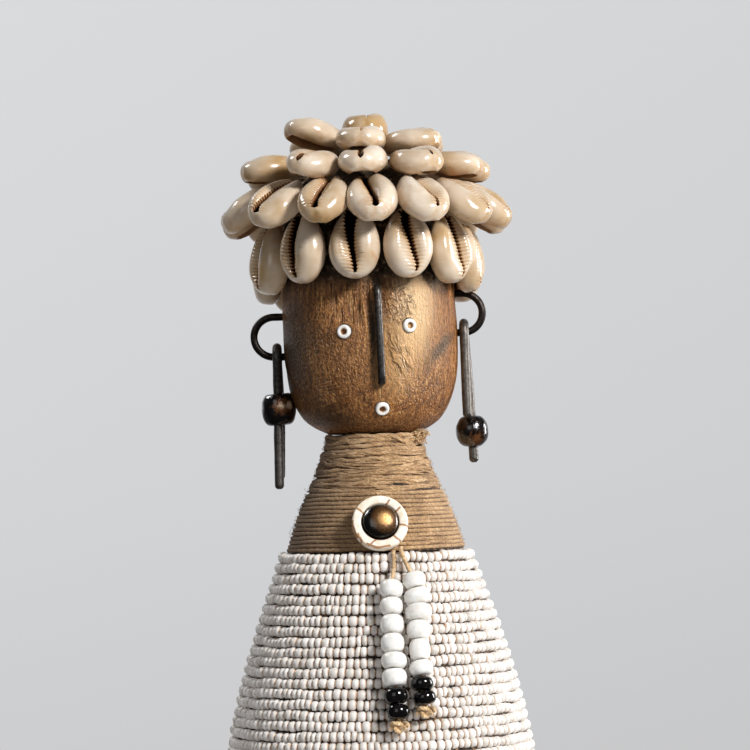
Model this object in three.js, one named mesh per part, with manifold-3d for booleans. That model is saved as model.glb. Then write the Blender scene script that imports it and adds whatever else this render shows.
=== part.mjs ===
// Namji doll: a carved wooden head with hair of cowrie shells, wire earrings, a twine-wound
// shoulder cone, a pendant with two bead tassels, and a bell-shaped body wound with seed beads.
// Millimetres, +Z up. The face looks along -Y, and the origin is the middle of the underside.
import * as THREE from "three";
import { mergeVertices } from "three/addons/utils/BufferGeometryUtils.js";
import Module from "manifold-3d";

const wasm = await Module();
wasm.setup();

// Clearance between neighbouring pieces
const GAP = 0.3;

// Bead body: [radius over the beads, height] of its outline, from the foot to the shoulder
const BODY_OUTLINE = [
  [52.3, 0], [53, 43], [51.6, 70], [48.8, 92], [45.2, 109], [41.2, 123.2], [36, 138.5], [31, 153.2],
];
const BODY_SIDES = 14;
const BEAD_ROW_COUNT = 47;
const BEAD_ROW_PITCH = 3.2;
const BEAD_ROW_RELIEF = 1.1;
const BODY_RIM_INSET = 2.4;
const BODY_TOP = 153.2;
const BODY_TOP_RADIUS = 28.2;

// Shoulder wrap: close windings below, loose thick windings at the neck
const WRAP_OUTLINE = [[28.7, 153.5], [26.3, 161.2], [23.1, 169.6], [19.4, 177], [16, 186.2], [15.3, 190.4]];
const WRAP_SIDES = 14;
const CLOSE_WINDINGS = { from: 153.5, pitch: 2.6, count: 7, relief: 0.35 };
const LOOSE_WINDINGS = { from: 171.7, pitch: 2.05, count: 9, relief: 0.7 };

// Head: [half width, height] of the chin, the cheeks and the skull under the hair
const HEAD_OUTLINE = [
  [14.2, 190.8], [18.7, 193.1], [22.2, 196], [25.2, 201.4], [27.1, 209], [27.9, 219], [27.6, 233],
  [26.6, 255], [22.4, 268], [14.6, 276],
];
const HEAD_TOP = 279.4;
const HEAD_SIDES = 18;
const HEAD_DEPTH_SHARE = 0.95;
const HEAD_LEAN = -0.02;
const HEAD_LEAN_FROM = 212;

// Eyes and mouth: white glass rings in shallow recesses, [sideways, height] on the face
const FACE_BEAD = { radius: 2.4, bore: 0.9, thickness: 3, edge: 0.7, proud: 0.9, sides: 8 };
const FACE_BEADS = { left_eye: [-8.4, 222.5], right_eye: [12.1, 224], mouth: [3, 198.2] };

// Nose: an iron staple lying down the middle of the face, [sideways, height] of its two ends
const NOSE = { top: [2.1, 236], bottom: [2.9, 206.4], radius: 1.2, proud: 1.1, buried: 2, sides: 6 };

// Ear loops: bent wire with straight ends set in the wood
const EAR_WIRE_RADIUS = 1.2;
const EAR_WIRE_SIDES = 6;
const EAR_BEND_STEPS = 8;
const EAR_LOOPS = {
  left_ear_loop: { side: -1, across: 31.1, height: 222.5, radius: 6.4, root: 25.6 },
  right_ear_loop: { side: 1, across: 29.5, height: 228.8, radius: 6.3, root: 24.4 },
};

// Ear pins: a rod folded over the lower wire of its loop, routes as [sideways, depth, height]
const PIN_RADIUS = 1.5;
const PIN_SIDES = 6;
const PIN_FOLD_STEPS = 4;
const PIN_FOLD = EAR_WIRE_RADIUS + GAP + PIN_RADIUS;
const LEFT_FOLD_ACROSS = -30.2;
const RIGHT_FOLD_ACROSS = 29.8;
const LEFT_PIN_FRONT = [[-30.4, -1.65, 173.8], [-30.3, -1.65, 194], [-30.2, -1.65, 205.4], [-30.2, -2.7, 213]];
const LEFT_PIN_BACK = [[-30.2, 2.7, 213], [-29.9, 1.65, 205.4], [-29.7, 1.65, 194], [-30.1, 1.65, 177]];
const RIGHT_PIN_FRONT = [[30.1, -4.5, 195.2], [29.9, -3.8, 208], [29.8, -3.2, 218]];
const RIGHT_PIN_BACK = [[30.2, 2.9, 218], [31.1, 1.7, 203], [31.6, 0.8, 191], [32, 0.5, 180.9]];

// Ear beads, [sideways, depth, height] of the middle. Fullness is how far up the belly stays wide.
const EAR_BEADS = {
  left_ear_bead: { at: [-30.1, 0, 199.3], radius: 5.2, height: 9.7, bore: 3.55, fullness: 0.62 },
  right_ear_bead: { at: [31.6, 0.8, 190.9], radius: 5.15, height: 9.4, bore: 2.1, fullness: 0.5 },
};
const EAR_BEAD_SIDES = 10;
const EAR_BEAD_SHOULDER = 0.86;
const EAR_BEAD_MOUTH = 0.45;

// Pendant: a ring tied to the front of the wrap, with a domed bead in its middle
const PENDANT = { across: 1.1, height: 162, setOff: 2.1, tilt: 18, turn: 4 };
const RING = { outer: 9, inner: 6.25, thickness: 3.6, round: 1, sides: 16 };
const BOSS = { radius: 5.9, back: -1.6, foot: 0.6, waist: 1, crest: 5.9, steps: 4, sides: 12 };

// Tassels: the cord's route is [sideways, stand-off from the beads of the body, height]
const CORD_RADIUS = 0.75;
const CORD_SIDES = 8;
const LEFT_CORD_ROUTE = [
  [5.3, 0.45, 153.7], [5.35, 1.3, 151.4], [5.2, 2.6, 148.6], [4.8, 4.05, 145.4], [4.3, 4.3, 142],
  [4.2, 4.3, 136.8], [4.3, 4.3, 131.4], [4.3, 4.3, 125.6], [4.6, 4.3, 120.4], [4.6, 4.3, 115.1],
  [4.9, 4.1, 109.7], [5.5, 3.9, 104.9], [5.7, 3.7, 101.2],
];
const RIGHT_CORD_ROUTE = [
  [7.5, 0.35, 154.9], [8.1, 1.3, 152.2], [9.2, 2.8, 149.6], [10.4, 4.1, 147], [11.5, 4.3, 144.3],
  [12.3, 4.4, 139.5], [12.5, 4.4, 134.7], [12.4, 4.3, 129.4], [12.6, 4.1, 123.4], [12.9, 4.3, 117.8],
  [13, 4, 113.1], [13.6, 3.9, 108.8], [14, 3.7, 105.4],
];
const STRUNG_BEAD_SIDES = 7;
const BEAD_MOUTH_SHARE = 0.62;
const CROW_BEAD = { radius: 3.65, fullness: 0.62 };
const BLACK_BEAD = { radius: 3.3, fullness: 0.6 };
const KNOT = { radius: 1.9, length: 3.4, sides: 6, rings: 4 };
// Heights where one bead ends and the next begins, down each tassel
const LEFT_WHITE_JOINTS = [144.7, 139.4, 134.2, 128.5, 122.8, 117.9, 112.6];
const LEFT_BLACK_JOINTS = [112.2, 107.2, 102.6];
const RIGHT_WHITE_JOINTS = [147, 142, 137.2, 132.2, 126.6, 120.2, 115.6];
const RIGHT_BLACK_JOINTS = [115.2, 111, 106.7];

// Hair: rows of cut-back cowries, at azimuths from the front. Radius and height place a shell's glued
// end, and drop raises the front and lowers the back. Tilt is 0 for a shell that hangs and 90 for one
// that lies level with its free end outwards.
const HAIR_ACROSS = -0.8;
const SHELL_RINGS = 5;
const SHELL_BACK_BULGE = 0.5;
const SHELL_BULGE = 0.8;
// Corners of a shell's cross-section, [across / half width, out / depth], from its left side round
const SHELL_SECTION = [
  [-1, 0], [-0.5, 0.42], [-0.1, 0.26], [0.42, 0.55], [1, 0], [0.6, -0.45], [-0.6, -0.45],
];
const FRINGE = {
  name: "fringe", azimuths: [-101, -70, -38, -8, 22, 53, 81, 110, 140, 170, 200, 230], tilts: [5],
  radius: 31.2, height: 256.5, drop: 4.6, length: 22.4, width: 15.8, depth: 9,
};
const MIDDLE_ROW = {
  name: "middle_row", azimuths: [-103, -76, -50, -24, 2, 28, 54, 80, 106, 132, 157, 182, 207, 232],
  tilts: [54], radius: 28.3, height: 269.8, drop: 0.4, length: 22.4, width: 15.2, depth: 8.6,
};
const UPPER_ROW = {
  name: "upper_row", azimuths: [-73, -31, -1, 31, 63, 97, 132, 167, 204, 245], tilts: [84],
  radius: 20.3, height: 276.3, drop: 0, length: 21.6, width: 14.6, depth: 7.6,
};
const CROWN = {
  azimuths: [-64, -2, 58, 118, 178, 237], tilts: [106, 91, 92, 93, 94, 93],
  radius: 6.3, height: 282.8, drop: 0, length: 21.6, width: 15.6, depth: 7.2,
};
const TOP_SHELL = {
  azimuths: [4], tilts: [93], radius: -10.4, height: 286.8, drop: 0, length: 22, width: 14.4, depth: 10.4,
};

const WOOD = new THREE.MeshStandardMaterial({ color: 0x8a5a30, roughness: 0.5 });
const TWINE = new THREE.MeshStandardMaterial({ color: 0xa8845a, roughness: 0.95 });
const SEED_BEADS = new THREE.MeshStandardMaterial({ color: 0xe8e4df, roughness: 0.4 });
const WHITE_GLASS = new THREE.MeshStandardMaterial({ color: 0xf4f2ee, roughness: 0.3 });
const BLACK_GLASS = new THREE.MeshStandardMaterial({ color: 0x0c0b0b, roughness: 0.12 });
const BROWN_GLASS = new THREE.MeshStandardMaterial({ color: 0x2a170c, roughness: 0.15 });
const IRON = new THREE.MeshStandardMaterial({ color: 0x3c3734, roughness: 0.55, metalness: 0.8 });
const BONE = new THREE.MeshStandardMaterial({ color: 0xf1e6d2, roughness: 0.4 });
const BRONZE_GLASS = new THREE.MeshStandardMaterial({ color: 0x3a2412, roughness: 0.15, metalness: 0.5 });
const SHELL = new THREE.MeshStandardMaterial({ color: 0xe2d0b6, roughness: 0.25 });

const doll = new THREE.Group();

/** Adds one named piece to the doll. */
function addPiece(name, geometry, material) {
  const piece = new THREE.Mesh(geometry, material);
  piece.name = name;
  doll.add(piece);
}

/** The outline through [radius, height] points, as a function from height to radius. */
function outline(points) {
  const curve = new THREE.SplineCurve(points.map(([radius, height]) => new THREE.Vector2(radius, height)));
  return (height) => {
    let low = 0;
    let high = 1;
    for (let step = 0; step < 24; step++) {
      const middle = (low + high) / 2;
      if (curve.getPoint(middle).y < height) low = middle;
      else high = middle;
    }
    return curve.getPoint((low + high) / 2).x;
  };
}

/** A solid turned round +Z from [radius, height] points. Its flat sides cross the true circle. */
function turned(points, sides) {
  const swell = 2 / (1 + Math.cos(Math.PI / sides));
  const profile = points.map(([radius, height]) => new THREE.Vector2(radius * swell, height));
  return new THREE.LatheGeometry(profile, sides).rotateX(Math.PI / 2);
}

/** Ridges of a wound layer: a valley and a crest for each winding, listed upwards. */
function windings(radiusAt, { from, pitch, count, relief }) {
  const points = [];
  for (let turn = 0; turn < count; turn++) {
    const valley = from + turn * pitch;
    const crest = valley + pitch / 2;
    points.push([radiusAt(valley) - relief, valley], [radiusAt(crest), crest]);
  }
  return points;
}

/** A solid of manifold-3d from a closed geometry. */
function toSolid(geometry) {
  const bare = geometry.clone();
  for (const name of Object.keys(bare.attributes)) if (name !== "position") bare.deleteAttribute(name);
  const merged = mergeVertices(bare, 1e-4);
  const triVerts = new Uint32Array(merged.index.array);
  return new wasm.Manifold(
    new wasm.Mesh({ numProp: 3, vertProperties: merged.attributes.position.array, triVerts }),
  );
}

/** A geometry from a solid of manifold-3d. */
function toGeometry(solid) {
  const mesh = solid.getMesh();
  const geometry = new THREE.BufferGeometry();
  geometry.setAttribute("position", new THREE.BufferAttribute(new Float32Array(mesh.vertProperties), 3));
  geometry.setIndex(new THREE.BufferAttribute(new Uint32Array(mesh.triVerts), 1));
  return geometry;
}

/** One geometry that joins several. */
function joined(geometries) {
  return toGeometry(geometries.map(toSolid).reduce((whole, part) => whole.add(part)));
}

/** The first geometry with the others cut away from it. */
function cut(geometry, tools) {
  return toGeometry(tools.map(toSolid).reduce((rest, tool) => rest.subtract(tool), toSolid(geometry)));
}

/** A round section with straight sides. */
function roundSection(radius, sides) {
  const corners = [];
  for (let side = 0; side < sides; side++) {
    const angle = (2 * Math.PI * side) / sides;
    corners.push(new THREE.Vector2(radius * Math.cos(angle), radius * Math.sin(angle)));
  }
  return new THREE.Shape(corners);
}

/** A smooth route whose steps fall on its own points, which stand closer in a bend. */
class Route extends THREE.CatmullRomCurve3 {
  constructor(points) {
    super(points.map((point) => new THREE.Vector3(...point)));
  }

  getUtoTmapping(share) {
    return share;
  }
}

/** A tube along a route, with one step between each two points. */
function tube(route, radius, sides) {
  const extrudePath = new Route(route);
  const steps = route.length - 1;
  return new THREE.ExtrudeGeometry(roundSection(radius, sides), { steps, extrudePath, bevelEnabled: false });
}

/** A matrix that carries local X, Y, Z to the given directions at a place. */
function frameAt(place, x, y, z) {
  return new THREE.Matrix4().makeBasis(x, y, z).setPosition(place);
}

const bodyRadius = outline(BODY_OUTLINE);
const wrapRadius = outline(WRAP_OUTLINE);
const headRadius = outline(HEAD_OUTLINE);

/** The bead body: one ridge for each row of beads, over a plain rim. */
function beadBody() {
  const rows = { from: BODY_TOP - BEAD_ROW_COUNT * BEAD_ROW_PITCH, pitch: BEAD_ROW_PITCH };
  const ridges = windings(bodyRadius, { ...rows, count: BEAD_ROW_COUNT, relief: BEAD_ROW_RELIEF });
  const rim = bodyRadius(0) - BODY_RIM_INSET;
  return turned([[0, 0], [rim, 0], ...ridges, [BODY_TOP_RADIUS, BODY_TOP], [0, BODY_TOP]], BODY_SIDES);
}

/** The twine wrap from the top of the body to under the chin. */
function shoulderWrap() {
  const foot = CLOSE_WINDINGS.from;
  const top = WRAP_OUTLINE.at(-1)[1];
  const ridges = [...windings(wrapRadius, CLOSE_WINDINGS), ...windings(wrapRadius, LOOSE_WINDINGS)];
  return turned([[0, foot], ...ridges, [wrapRadius(top) - LOOSE_WINDINGS.relief, top], [0, top]], WRAP_SIDES);
}

/** How far the head's middle stands to the side at a height: the skull leans a little. */
function headAcross(height) {
  return HEAD_LEAN * Math.max(0, height - HEAD_LEAN_FROM);
}

/** The carved head before its holes. */
function headBlock() {
  const chin = HEAD_OUTLINE[0][1];
  const block = turned([[0, chin], ...HEAD_OUTLINE, [0, HEAD_TOP]], HEAD_SIDES);
  const points = block.attributes.position;
  for (let i = 0; i < points.count; i++) {
    points.setX(i, points.getX(i) + headAcross(points.getZ(i)));
    points.setY(i, points.getY(i) * HEAD_DEPTH_SHARE);
  }
  return block;
}

/** The place and the outward frame of a spot on the face: local Z stands out of the wood. */
function faceFrame([across, height], proud) {
  const radius = headRadius(height);
  const angle = Math.asin((across - headAcross(height)) / radius);
  const depth = -radius * HEAD_DEPTH_SHARE * Math.cos(angle);
  const rise = (headRadius(height + 1) - headRadius(height - 1)) / 2;
  const out = new THREE.Vector3(Math.sin(angle), -Math.cos(angle) / HEAD_DEPTH_SHARE, -rise).normalize();
  const right = new THREE.Vector3(0, 0, 1).cross(out).normalize().negate();
  const place = new THREE.Vector3(across, depth, height).addScaledVector(out, proud);
  return frameAt(place, right, out.clone().cross(right), out);
}

/** A glass ring, its hole along local Z and its front face at 0. */
function faceBead() {
  const { radius, bore, thickness, edge, sides } = FACE_BEAD;
  const profile = [
    [bore, -thickness], [radius - edge, -thickness], [radius, -thickness + edge], [radius, -edge],
    [radius - edge, 0], [bore, 0], [bore, -thickness],
  ];
  return turned(profile, sides);
}

/** A ring's recess, wider and deeper than the ring by the clearance. */
function faceRecess() {
  const { radius, thickness, proud, sides } = FACE_BEAD;
  const wide = radius + GAP;
  const deep = -thickness - GAP;
  return turned([[0, deep], [wide, deep], [wide, proud + 1], [0, proud + 1]], sides);
}

/** The staple's route, standing proud of the wood between its two bent ends. */
function noseRoute() {
  const lift = NOSE.radius + NOSE.proud;
  const at = (share, proud) => {
    const across = THREE.MathUtils.lerp(NOSE.top[0], NOSE.bottom[0], share);
    const height = THREE.MathUtils.lerp(NOSE.top[1], NOSE.bottom[1], share);
    const place = new THREE.Vector3().setFromMatrixPosition(faceFrame([across, height], proud));
    return place.toArray();
  };
  const bend = lift * 0.7;
  return [
    at(0, -NOSE.buried), at(0.01, bend), at(0.07, lift), at(0.5, lift), at(0.93, lift), at(0.99, bend),
    at(1, -NOSE.buried),
  ];
}

/** An ear loop's wire, thicker by the given clearance for its two holes in the wood. */
function earLoop({ side, across, height, radius, root }, clearance) {
  const route = [[side * root, 0, height + radius]];
  for (let step = 0; step <= EAR_BEND_STEPS; step++) {
    const angle = (Math.PI * step) / EAR_BEND_STEPS;
    route.push([side * (across + radius * Math.sin(angle)), 0, height + radius * Math.cos(angle)]);
  }
  route.push([side * root, 0, height - radius]);
  return tube(route, EAR_WIRE_RADIUS + clearance, EAR_WIRE_SIDES);
}

/** The fold of an ear pin over its loop's lower wire, from the front leg to the back leg. */
function pinFold({ height, radius }, across) {
  const wire = height - radius;
  const points = [];
  for (let step = 0; step <= PIN_FOLD_STEPS; step++) {
    const angle = (Math.PI * step) / PIN_FOLD_STEPS;
    points.push([across, -PIN_FOLD * Math.cos(angle), wire + PIN_FOLD * Math.sin(angle)]);
  }
  return points;
}

/** A barrel-shaped glass bead round +Z. */
function roundedBead(radius, height, bore, fullness, sides) {
  const half = height / 2;
  const mouth = Math.max(bore + 0.3, radius * EAR_BEAD_MOUTH);
  const shoulder = radius * EAR_BEAD_SHOULDER;
  const profile = [
    [bore, -half], [mouth, -half], [shoulder, -half * fullness], [radius, 0], [shoulder, half * fullness],
    [mouth, half], [bore, half], [bore, -half],
  ];
  return turned(profile, sides);
}

/** The pendant's frame: local Z is its outward axis, 0 its back. */
function pendantFrame() {
  const { across, height, setOff, tilt, turn } = PENDANT;
  const lift = THREE.MathUtils.degToRad(tilt);
  const side = THREE.MathUtils.degToRad(turn);
  const out = new THREE.Vector3(Math.sin(side), -Math.cos(side) * Math.cos(lift), Math.sin(lift)).normalize();
  const right = new THREE.Vector3(0, 0, 1).cross(out).normalize().negate();
  const place = new THREE.Vector3(across, -Math.sqrt(wrapRadius(height) ** 2 - across ** 2), height);
  return frameAt(place.addScaledVector(out, setOff), right, out.clone().cross(right), out);
}

/** The pendant's ring, with rounded edges. */
function pendantRing() {
  const { outer, inner, thickness, round, sides } = RING;
  const profile = [
    [inner, 0], [outer - round, 0], [outer, round], [outer, thickness - round], [outer - round, thickness],
    [inner, thickness], [inner, 0],
  ];
  return turned(profile, sides).applyMatrix4(pendantFrame());
}

/** The domed bead in the ring. */
function pendantBoss() {
  const { radius, back, foot, waist, crest, steps, sides } = BOSS;
  const profile = [[0, back], [radius * 0.8, back], [radius, foot]];
  for (let step = 0; step < steps; step++) {
    const angle = (Math.PI / 2) * (step / steps);
    profile.push([radius * Math.cos(angle), waist + (crest - waist) * Math.sin(angle)]);
  }
  return turned([...profile, [0, crest]], sides).applyMatrix4(pendantFrame());
}

/** A point in front of the body's beads, or of the wrap above them. */
function beforeBody([across, standOff, height]) {
  const radius = bodyRadius(Math.min(height, BODY_TOP)) + standOff;
  return [across, -Math.sqrt(radius ** 2 - across ** 2), height];
}

/** The middle and the downward direction of a cord at a height. */
function alongCord(route, height) {
  const below = route.findIndex((point) => point[2] <= height);
  const next = THREE.MathUtils.clamp(below, 1, route.length - 1);
  const high = new THREE.Vector3(...route[next - 1]);
  const low = new THREE.Vector3(...route[next]);
  const down = low.clone().sub(high);
  const place = high.clone().addScaledVector(down, (high.z - height) / (high.z - low.z));
  return { place, down: down.normalize() };
}

/** A run of beads turned in one piece on a straight axis, then bent to the cord they are strung on. */
function strungBeads(route, joints, { radius, fullness }) {
  const bore = CORD_RADIUS + GAP;
  const mouth = radius * BEAD_MOUTH_SHARE;
  const heights = joints.toReversed();
  const outside = heights.flatMap((foot, bead) => {
    if (bead === heights.length - 1) return [[mouth, foot]];
    const middle = (foot + heights[bead + 1]) / 2;
    const half = ((heights[bead + 1] - foot) / 2) * fullness;
    return [[mouth, foot], [radius, middle - half], [radius, middle + half]];
  });
  const inside = joints.map((height) => [bore, height]);
  const run = turned([...outside, ...inside, outside[0]], STRUNG_BEAD_SIDES);
  const points = run.attributes.position;
  for (let i = 0; i < points.count; i++) {
    const { place, down } = alongCord(route, points.getZ(i));
    const right = down.clone().cross(new THREE.Vector3(0, 1, 0)).normalize();
    const back = right.clone().cross(down);
    place.addScaledVector(right, points.getX(i)).addScaledVector(back, points.getY(i));
    points.setXYZ(i, place.x, place.y, place.z);
  }
  return run;
}

/** A tassel cord with its knot. */
function tasselCord(route) {
  const end = new THREE.Vector3(...route.at(-1));
  const knot = new THREE.SphereGeometry(KNOT.radius, KNOT.sides, KNOT.rings).rotateX(Math.PI / 2);
  knot.scale(1, 1, KNOT.length / (2 * KNOT.radius)).translate(end.x, end.y, end.z - KNOT.length / 4);
  return joined([tube(route, CORD_RADIUS, CORD_SIDES), knot]);
}

/** A cut-back cowrie: local X across it, local Y from its free end inwards, local Z out of its mouth. */
function cowrie({ length, width, depth }) {
  const corners = SHELL_SECTION.length;
  const shell = new THREE.SphereGeometry(1, corners, SHELL_RINGS);
  const points = shell.attributes.position;
  for (let i = 0; i < points.count; i++) {
    const along = points.getY(i);
    const girth = Math.sqrt(Math.max(0, 1 - along * along));
    const [across, out] = SHELL_SECTION[i % (corners + 1) % corners];
    const side = Math.pow(girth, SHELL_BULGE);
    const swell = Math.pow(girth, out < 0 ? SHELL_BACK_BULGE : SHELL_BULGE);
    points.setXYZ(i, (across * width * side) / 2, (along * length) / 2, out * depth * swell);
  }
  return shell;
}

/** A shell at an azimuth from the front, its glued end at a radius and a height. */
function placedShell(row, azimuth, height, tilt) {
  const angle = THREE.MathUtils.degToRad(azimuth);
  const lean = THREE.MathUtils.degToRad(tilt);
  const up = new THREE.Vector3(0, 0, 1);
  const radial = new THREE.Vector3(Math.sin(angle), -Math.cos(angle), 0);
  const across = new THREE.Vector3(Math.cos(angle), Math.sin(angle), 0);
  const along = up.clone().multiplyScalar(Math.cos(lean)).addScaledVector(radial, -Math.sin(lean));
  const out = radial.clone().multiplyScalar(Math.cos(lean)).addScaledVector(up, Math.sin(lean));
  const middle = new THREE.Vector3(HAIR_ACROSS, 0, height).addScaledVector(radial, row.radius);
  middle.addScaledVector(along, -row.length / 2);
  return cowrie(row).applyMatrix4(frameAt(middle, across, along, out));
}

/** The shells of one row round the head. */
function shellRow(row) {
  return row.azimuths.map((azimuth, place) => {
    const height = row.height + row.drop * Math.cos(THREE.MathUtils.degToRad(azimuth));
    return placedShell(row, azimuth, height, row.tilts[place % row.tilts.length]);
  });
}

addPiece("bead_body", beadBody(), SEED_BEADS);
addPiece("shoulder_wrap", shoulderWrap(), TWINE);

const recesses = [];
for (const [name, spot] of Object.entries(FACE_BEADS)) {
  const frame = faceFrame(spot, FACE_BEAD.proud);
  addPiece(name, faceBead().applyMatrix4(frame), WHITE_GLASS);
  recesses.push(faceRecess().applyMatrix4(frame));
}
recesses.push(tube(noseRoute(), NOSE.radius + GAP, NOSE.sides));
addPiece("nose_staple", tube(noseRoute(), NOSE.radius, NOSE.sides), IRON);
for (const [name, loop] of Object.entries(EAR_LOOPS)) {
  addPiece(name, earLoop(loop, 0), IRON);
  recesses.push(earLoop({ ...loop, root: loop.root - GAP }, GAP));
}
addPiece("head", cut(headBlock(), recesses), WOOD);

const leftFold = pinFold(EAR_LOOPS.left_ear_loop, LEFT_FOLD_ACROSS);
const rightFold = pinFold(EAR_LOOPS.right_ear_loop, RIGHT_FOLD_ACROSS);
const leftPin = [...LEFT_PIN_FRONT, ...leftFold, ...LEFT_PIN_BACK];
const rightPin = [...RIGHT_PIN_FRONT, ...rightFold, ...RIGHT_PIN_BACK];
addPiece("left_ear_pin", tube(leftPin, PIN_RADIUS, PIN_SIDES), IRON);
addPiece("right_ear_pin", tube(rightPin, PIN_RADIUS, PIN_SIDES), IRON);
for (const [name, { at, radius, height, bore, fullness }] of Object.entries(EAR_BEADS)) {
  const bead = roundedBead(radius, height, bore, fullness, EAR_BEAD_SIDES);
  addPiece(name, bead.translate(...at), BROWN_GLASS);
}

addPiece("pendant_ring", pendantRing(), BONE);
addPiece("pendant_boss", pendantBoss(), BRONZE_GLASS);

const leftCord = LEFT_CORD_ROUTE.map(beforeBody);
const rightCord = RIGHT_CORD_ROUTE.map(beforeBody);
addPiece("left_tassel_cord", tasselCord(leftCord), TWINE);
addPiece("right_tassel_cord", tasselCord(rightCord), TWINE);
addPiece("left_white_beads", strungBeads(leftCord, LEFT_WHITE_JOINTS, CROW_BEAD), WHITE_GLASS);
addPiece("right_white_beads", strungBeads(rightCord, RIGHT_WHITE_JOINTS, CROW_BEAD), WHITE_GLASS);
addPiece("left_black_beads", strungBeads(leftCord, LEFT_BLACK_JOINTS, BLACK_BEAD), BLACK_GLASS);
addPiece("right_black_beads", strungBeads(rightCord, RIGHT_BLACK_JOINTS, BLACK_BEAD), BLACK_GLASS);

for (const row of [FRINGE, MIDDLE_ROW, UPPER_ROW]) {
  shellRow(row).forEach((shell, place) => addPiece(`${row.name}_shell_${place + 1}`, shell, SHELL));
}
addPiece("crown_shells", joined([...shellRow(CROWN), ...shellRow(TOP_SHELL)]), SHELL);

export default doll;
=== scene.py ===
"""Dresses a namji doll: a carved head with cowrie hair and iron earrings on a twine-wound, beaded body.

Metres, +Z up, the face looks along -Y. In the dataclasses sizes are millimetres and angles degrees, as a
maker would give them, and MM turns millimetres to metres. Left and right are the viewer's.
"""

import logging
from dataclasses import dataclass
from enum import Enum
from functools import partial
from math import acos, asin, atan2, cos, exp, hypot, pi, radians, sin, sqrt, tau
from random import Random
from typing import Callable, Iterable, Sequence

import bmesh
import bpy
import numpy as np
from mathutils import Matrix, Quaternion, Vector, noise

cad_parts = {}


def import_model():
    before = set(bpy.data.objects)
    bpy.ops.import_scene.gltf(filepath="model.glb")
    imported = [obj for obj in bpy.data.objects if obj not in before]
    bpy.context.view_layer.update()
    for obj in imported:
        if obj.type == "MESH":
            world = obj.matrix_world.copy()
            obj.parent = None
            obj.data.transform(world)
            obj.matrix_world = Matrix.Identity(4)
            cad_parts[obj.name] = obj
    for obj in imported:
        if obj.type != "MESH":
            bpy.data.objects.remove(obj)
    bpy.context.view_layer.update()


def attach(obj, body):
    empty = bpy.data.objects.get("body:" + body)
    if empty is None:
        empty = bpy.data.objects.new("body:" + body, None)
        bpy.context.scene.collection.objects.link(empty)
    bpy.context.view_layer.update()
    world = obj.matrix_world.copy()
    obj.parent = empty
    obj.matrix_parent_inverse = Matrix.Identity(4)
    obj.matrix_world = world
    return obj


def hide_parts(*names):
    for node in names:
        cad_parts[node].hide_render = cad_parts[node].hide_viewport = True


MM = 0.001
BODY = "root"
# Clearance between neighbouring pieces, in millimetres
GAP = 0.3
UP = np.array((0.0, 0.0, 1.0))

log = logging.getLogger("namji_doll")

Point = Sequence[float]
Pair = tuple[float, float]
Triple = tuple[float, float, float]
Form = bmesh.types.BMesh
Mesh = bpy.types.Mesh
Node = bpy.types.Node
Socket = bpy.types.NodeSocket
Inputs = dict[str | int, object]
Adder = Callable[..., Node]


class Slot(Enum):
    """The record's material slots."""

    WOOD = "carved_wood"
    TWINE = "wound_twine"
    SEED = "seed_beads"
    WHITE = "white_glass"
    BLACK = "black_glass"
    BROWN = "brown_glass"
    IRON = "forged_iron"
    BONE = "bone_ring"
    BRONZE = "bronze_dome"
    SHELL = "cowrie_shell"


class Side(Enum):
    """A side of the doll as the camera sees it."""

    LEFT = "left"
    RIGHT = "right"

    @property
    def sign(self) -> int:
        """-1 on the left, 1 on the right."""
        return -1 if self is Side.LEFT else 1


# Shapes


def smooth_path(points: Sequence[Point], spans: int) -> np.ndarray:
    """Samples a smooth curve that runs through some points.

    Args:
        points: the points, of two or three numbers each.
        spans: steps between two neighbours.

    Returns:
        The curve's points, one a row.
    """
    given = np.array(points, float)
    padded = np.vstack([2 * given[0] - given[1], given, 2 * given[-1] - given[-2]])
    steps = np.linspace(0, 1, spans, endpoint=False)[:, None]
    runs = []
    for place in range(len(given) - 1):
        before, start, end, after = padded[place : place + 4]
        runs.append(
            start
            + 0.5 * (end - before) * steps
            + (before - 2.5 * start + 2 * end - 0.5 * after) * steps**2
            + 0.5 * (3 * start - before - 3 * end + after) * steps**3
        )
    return np.vstack([*runs, given[-1]])


@dataclass(frozen=True)
class Outline:
    """A turned form's outline.

    Attributes:
        points: radius and height, from the foot up.
    """

    points: tuple[Pair, ...]

    def radius(self, height: float) -> float:
        """The radius at a height."""
        curve = smooth_path(self.points, 16)
        return float(np.interp(height, curve[:, 1], curve[:, 0]))


def resampled(path: np.ndarray, step: float) -> np.ndarray:
    """Spreads points evenly along a path.

    Args:
        path: the points of the path.
        step: the wanted distance between points.

    Returns:
        The new points, with the same ends.
    """
    run = np.concatenate([[0], np.cumsum(np.linalg.norm(np.diff(path, axis=0), axis=1))])
    places = np.linspace(0, run[-1], max(2, round(run[-1] / step) + 1))
    return np.stack([np.interp(places, run, path[:, axis]) for axis in range(3)], axis=1)


def around(angle: float, reach: float, height: float) -> Triple:
    """The point at an angle from the front, a distance from the axis and a height."""
    return reach * sin(angle), -reach * cos(angle), height


def facing(place: Vector, out: Vector) -> Matrix:
    """The frame of something that looks outwards.

    Args:
        place: where it stands, in millimetres.
        out: the way it looks.

    Returns:
        A matrix from its own millimetres, X right and Z out, to metres.
    """
    right = Vector((0, 0, 1)).cross(out).normalized()
    axes = Matrix((right, out.cross(right), out)).transposed().to_4x4()
    return Matrix.Translation(place * MM) @ axes @ Matrix.Scale(MM, 4)


def chance(*place: float) -> float:
    """Smooth noise at a place of three numbers, from about -1 to 1."""
    return noise.noise(Vector(place))


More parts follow.
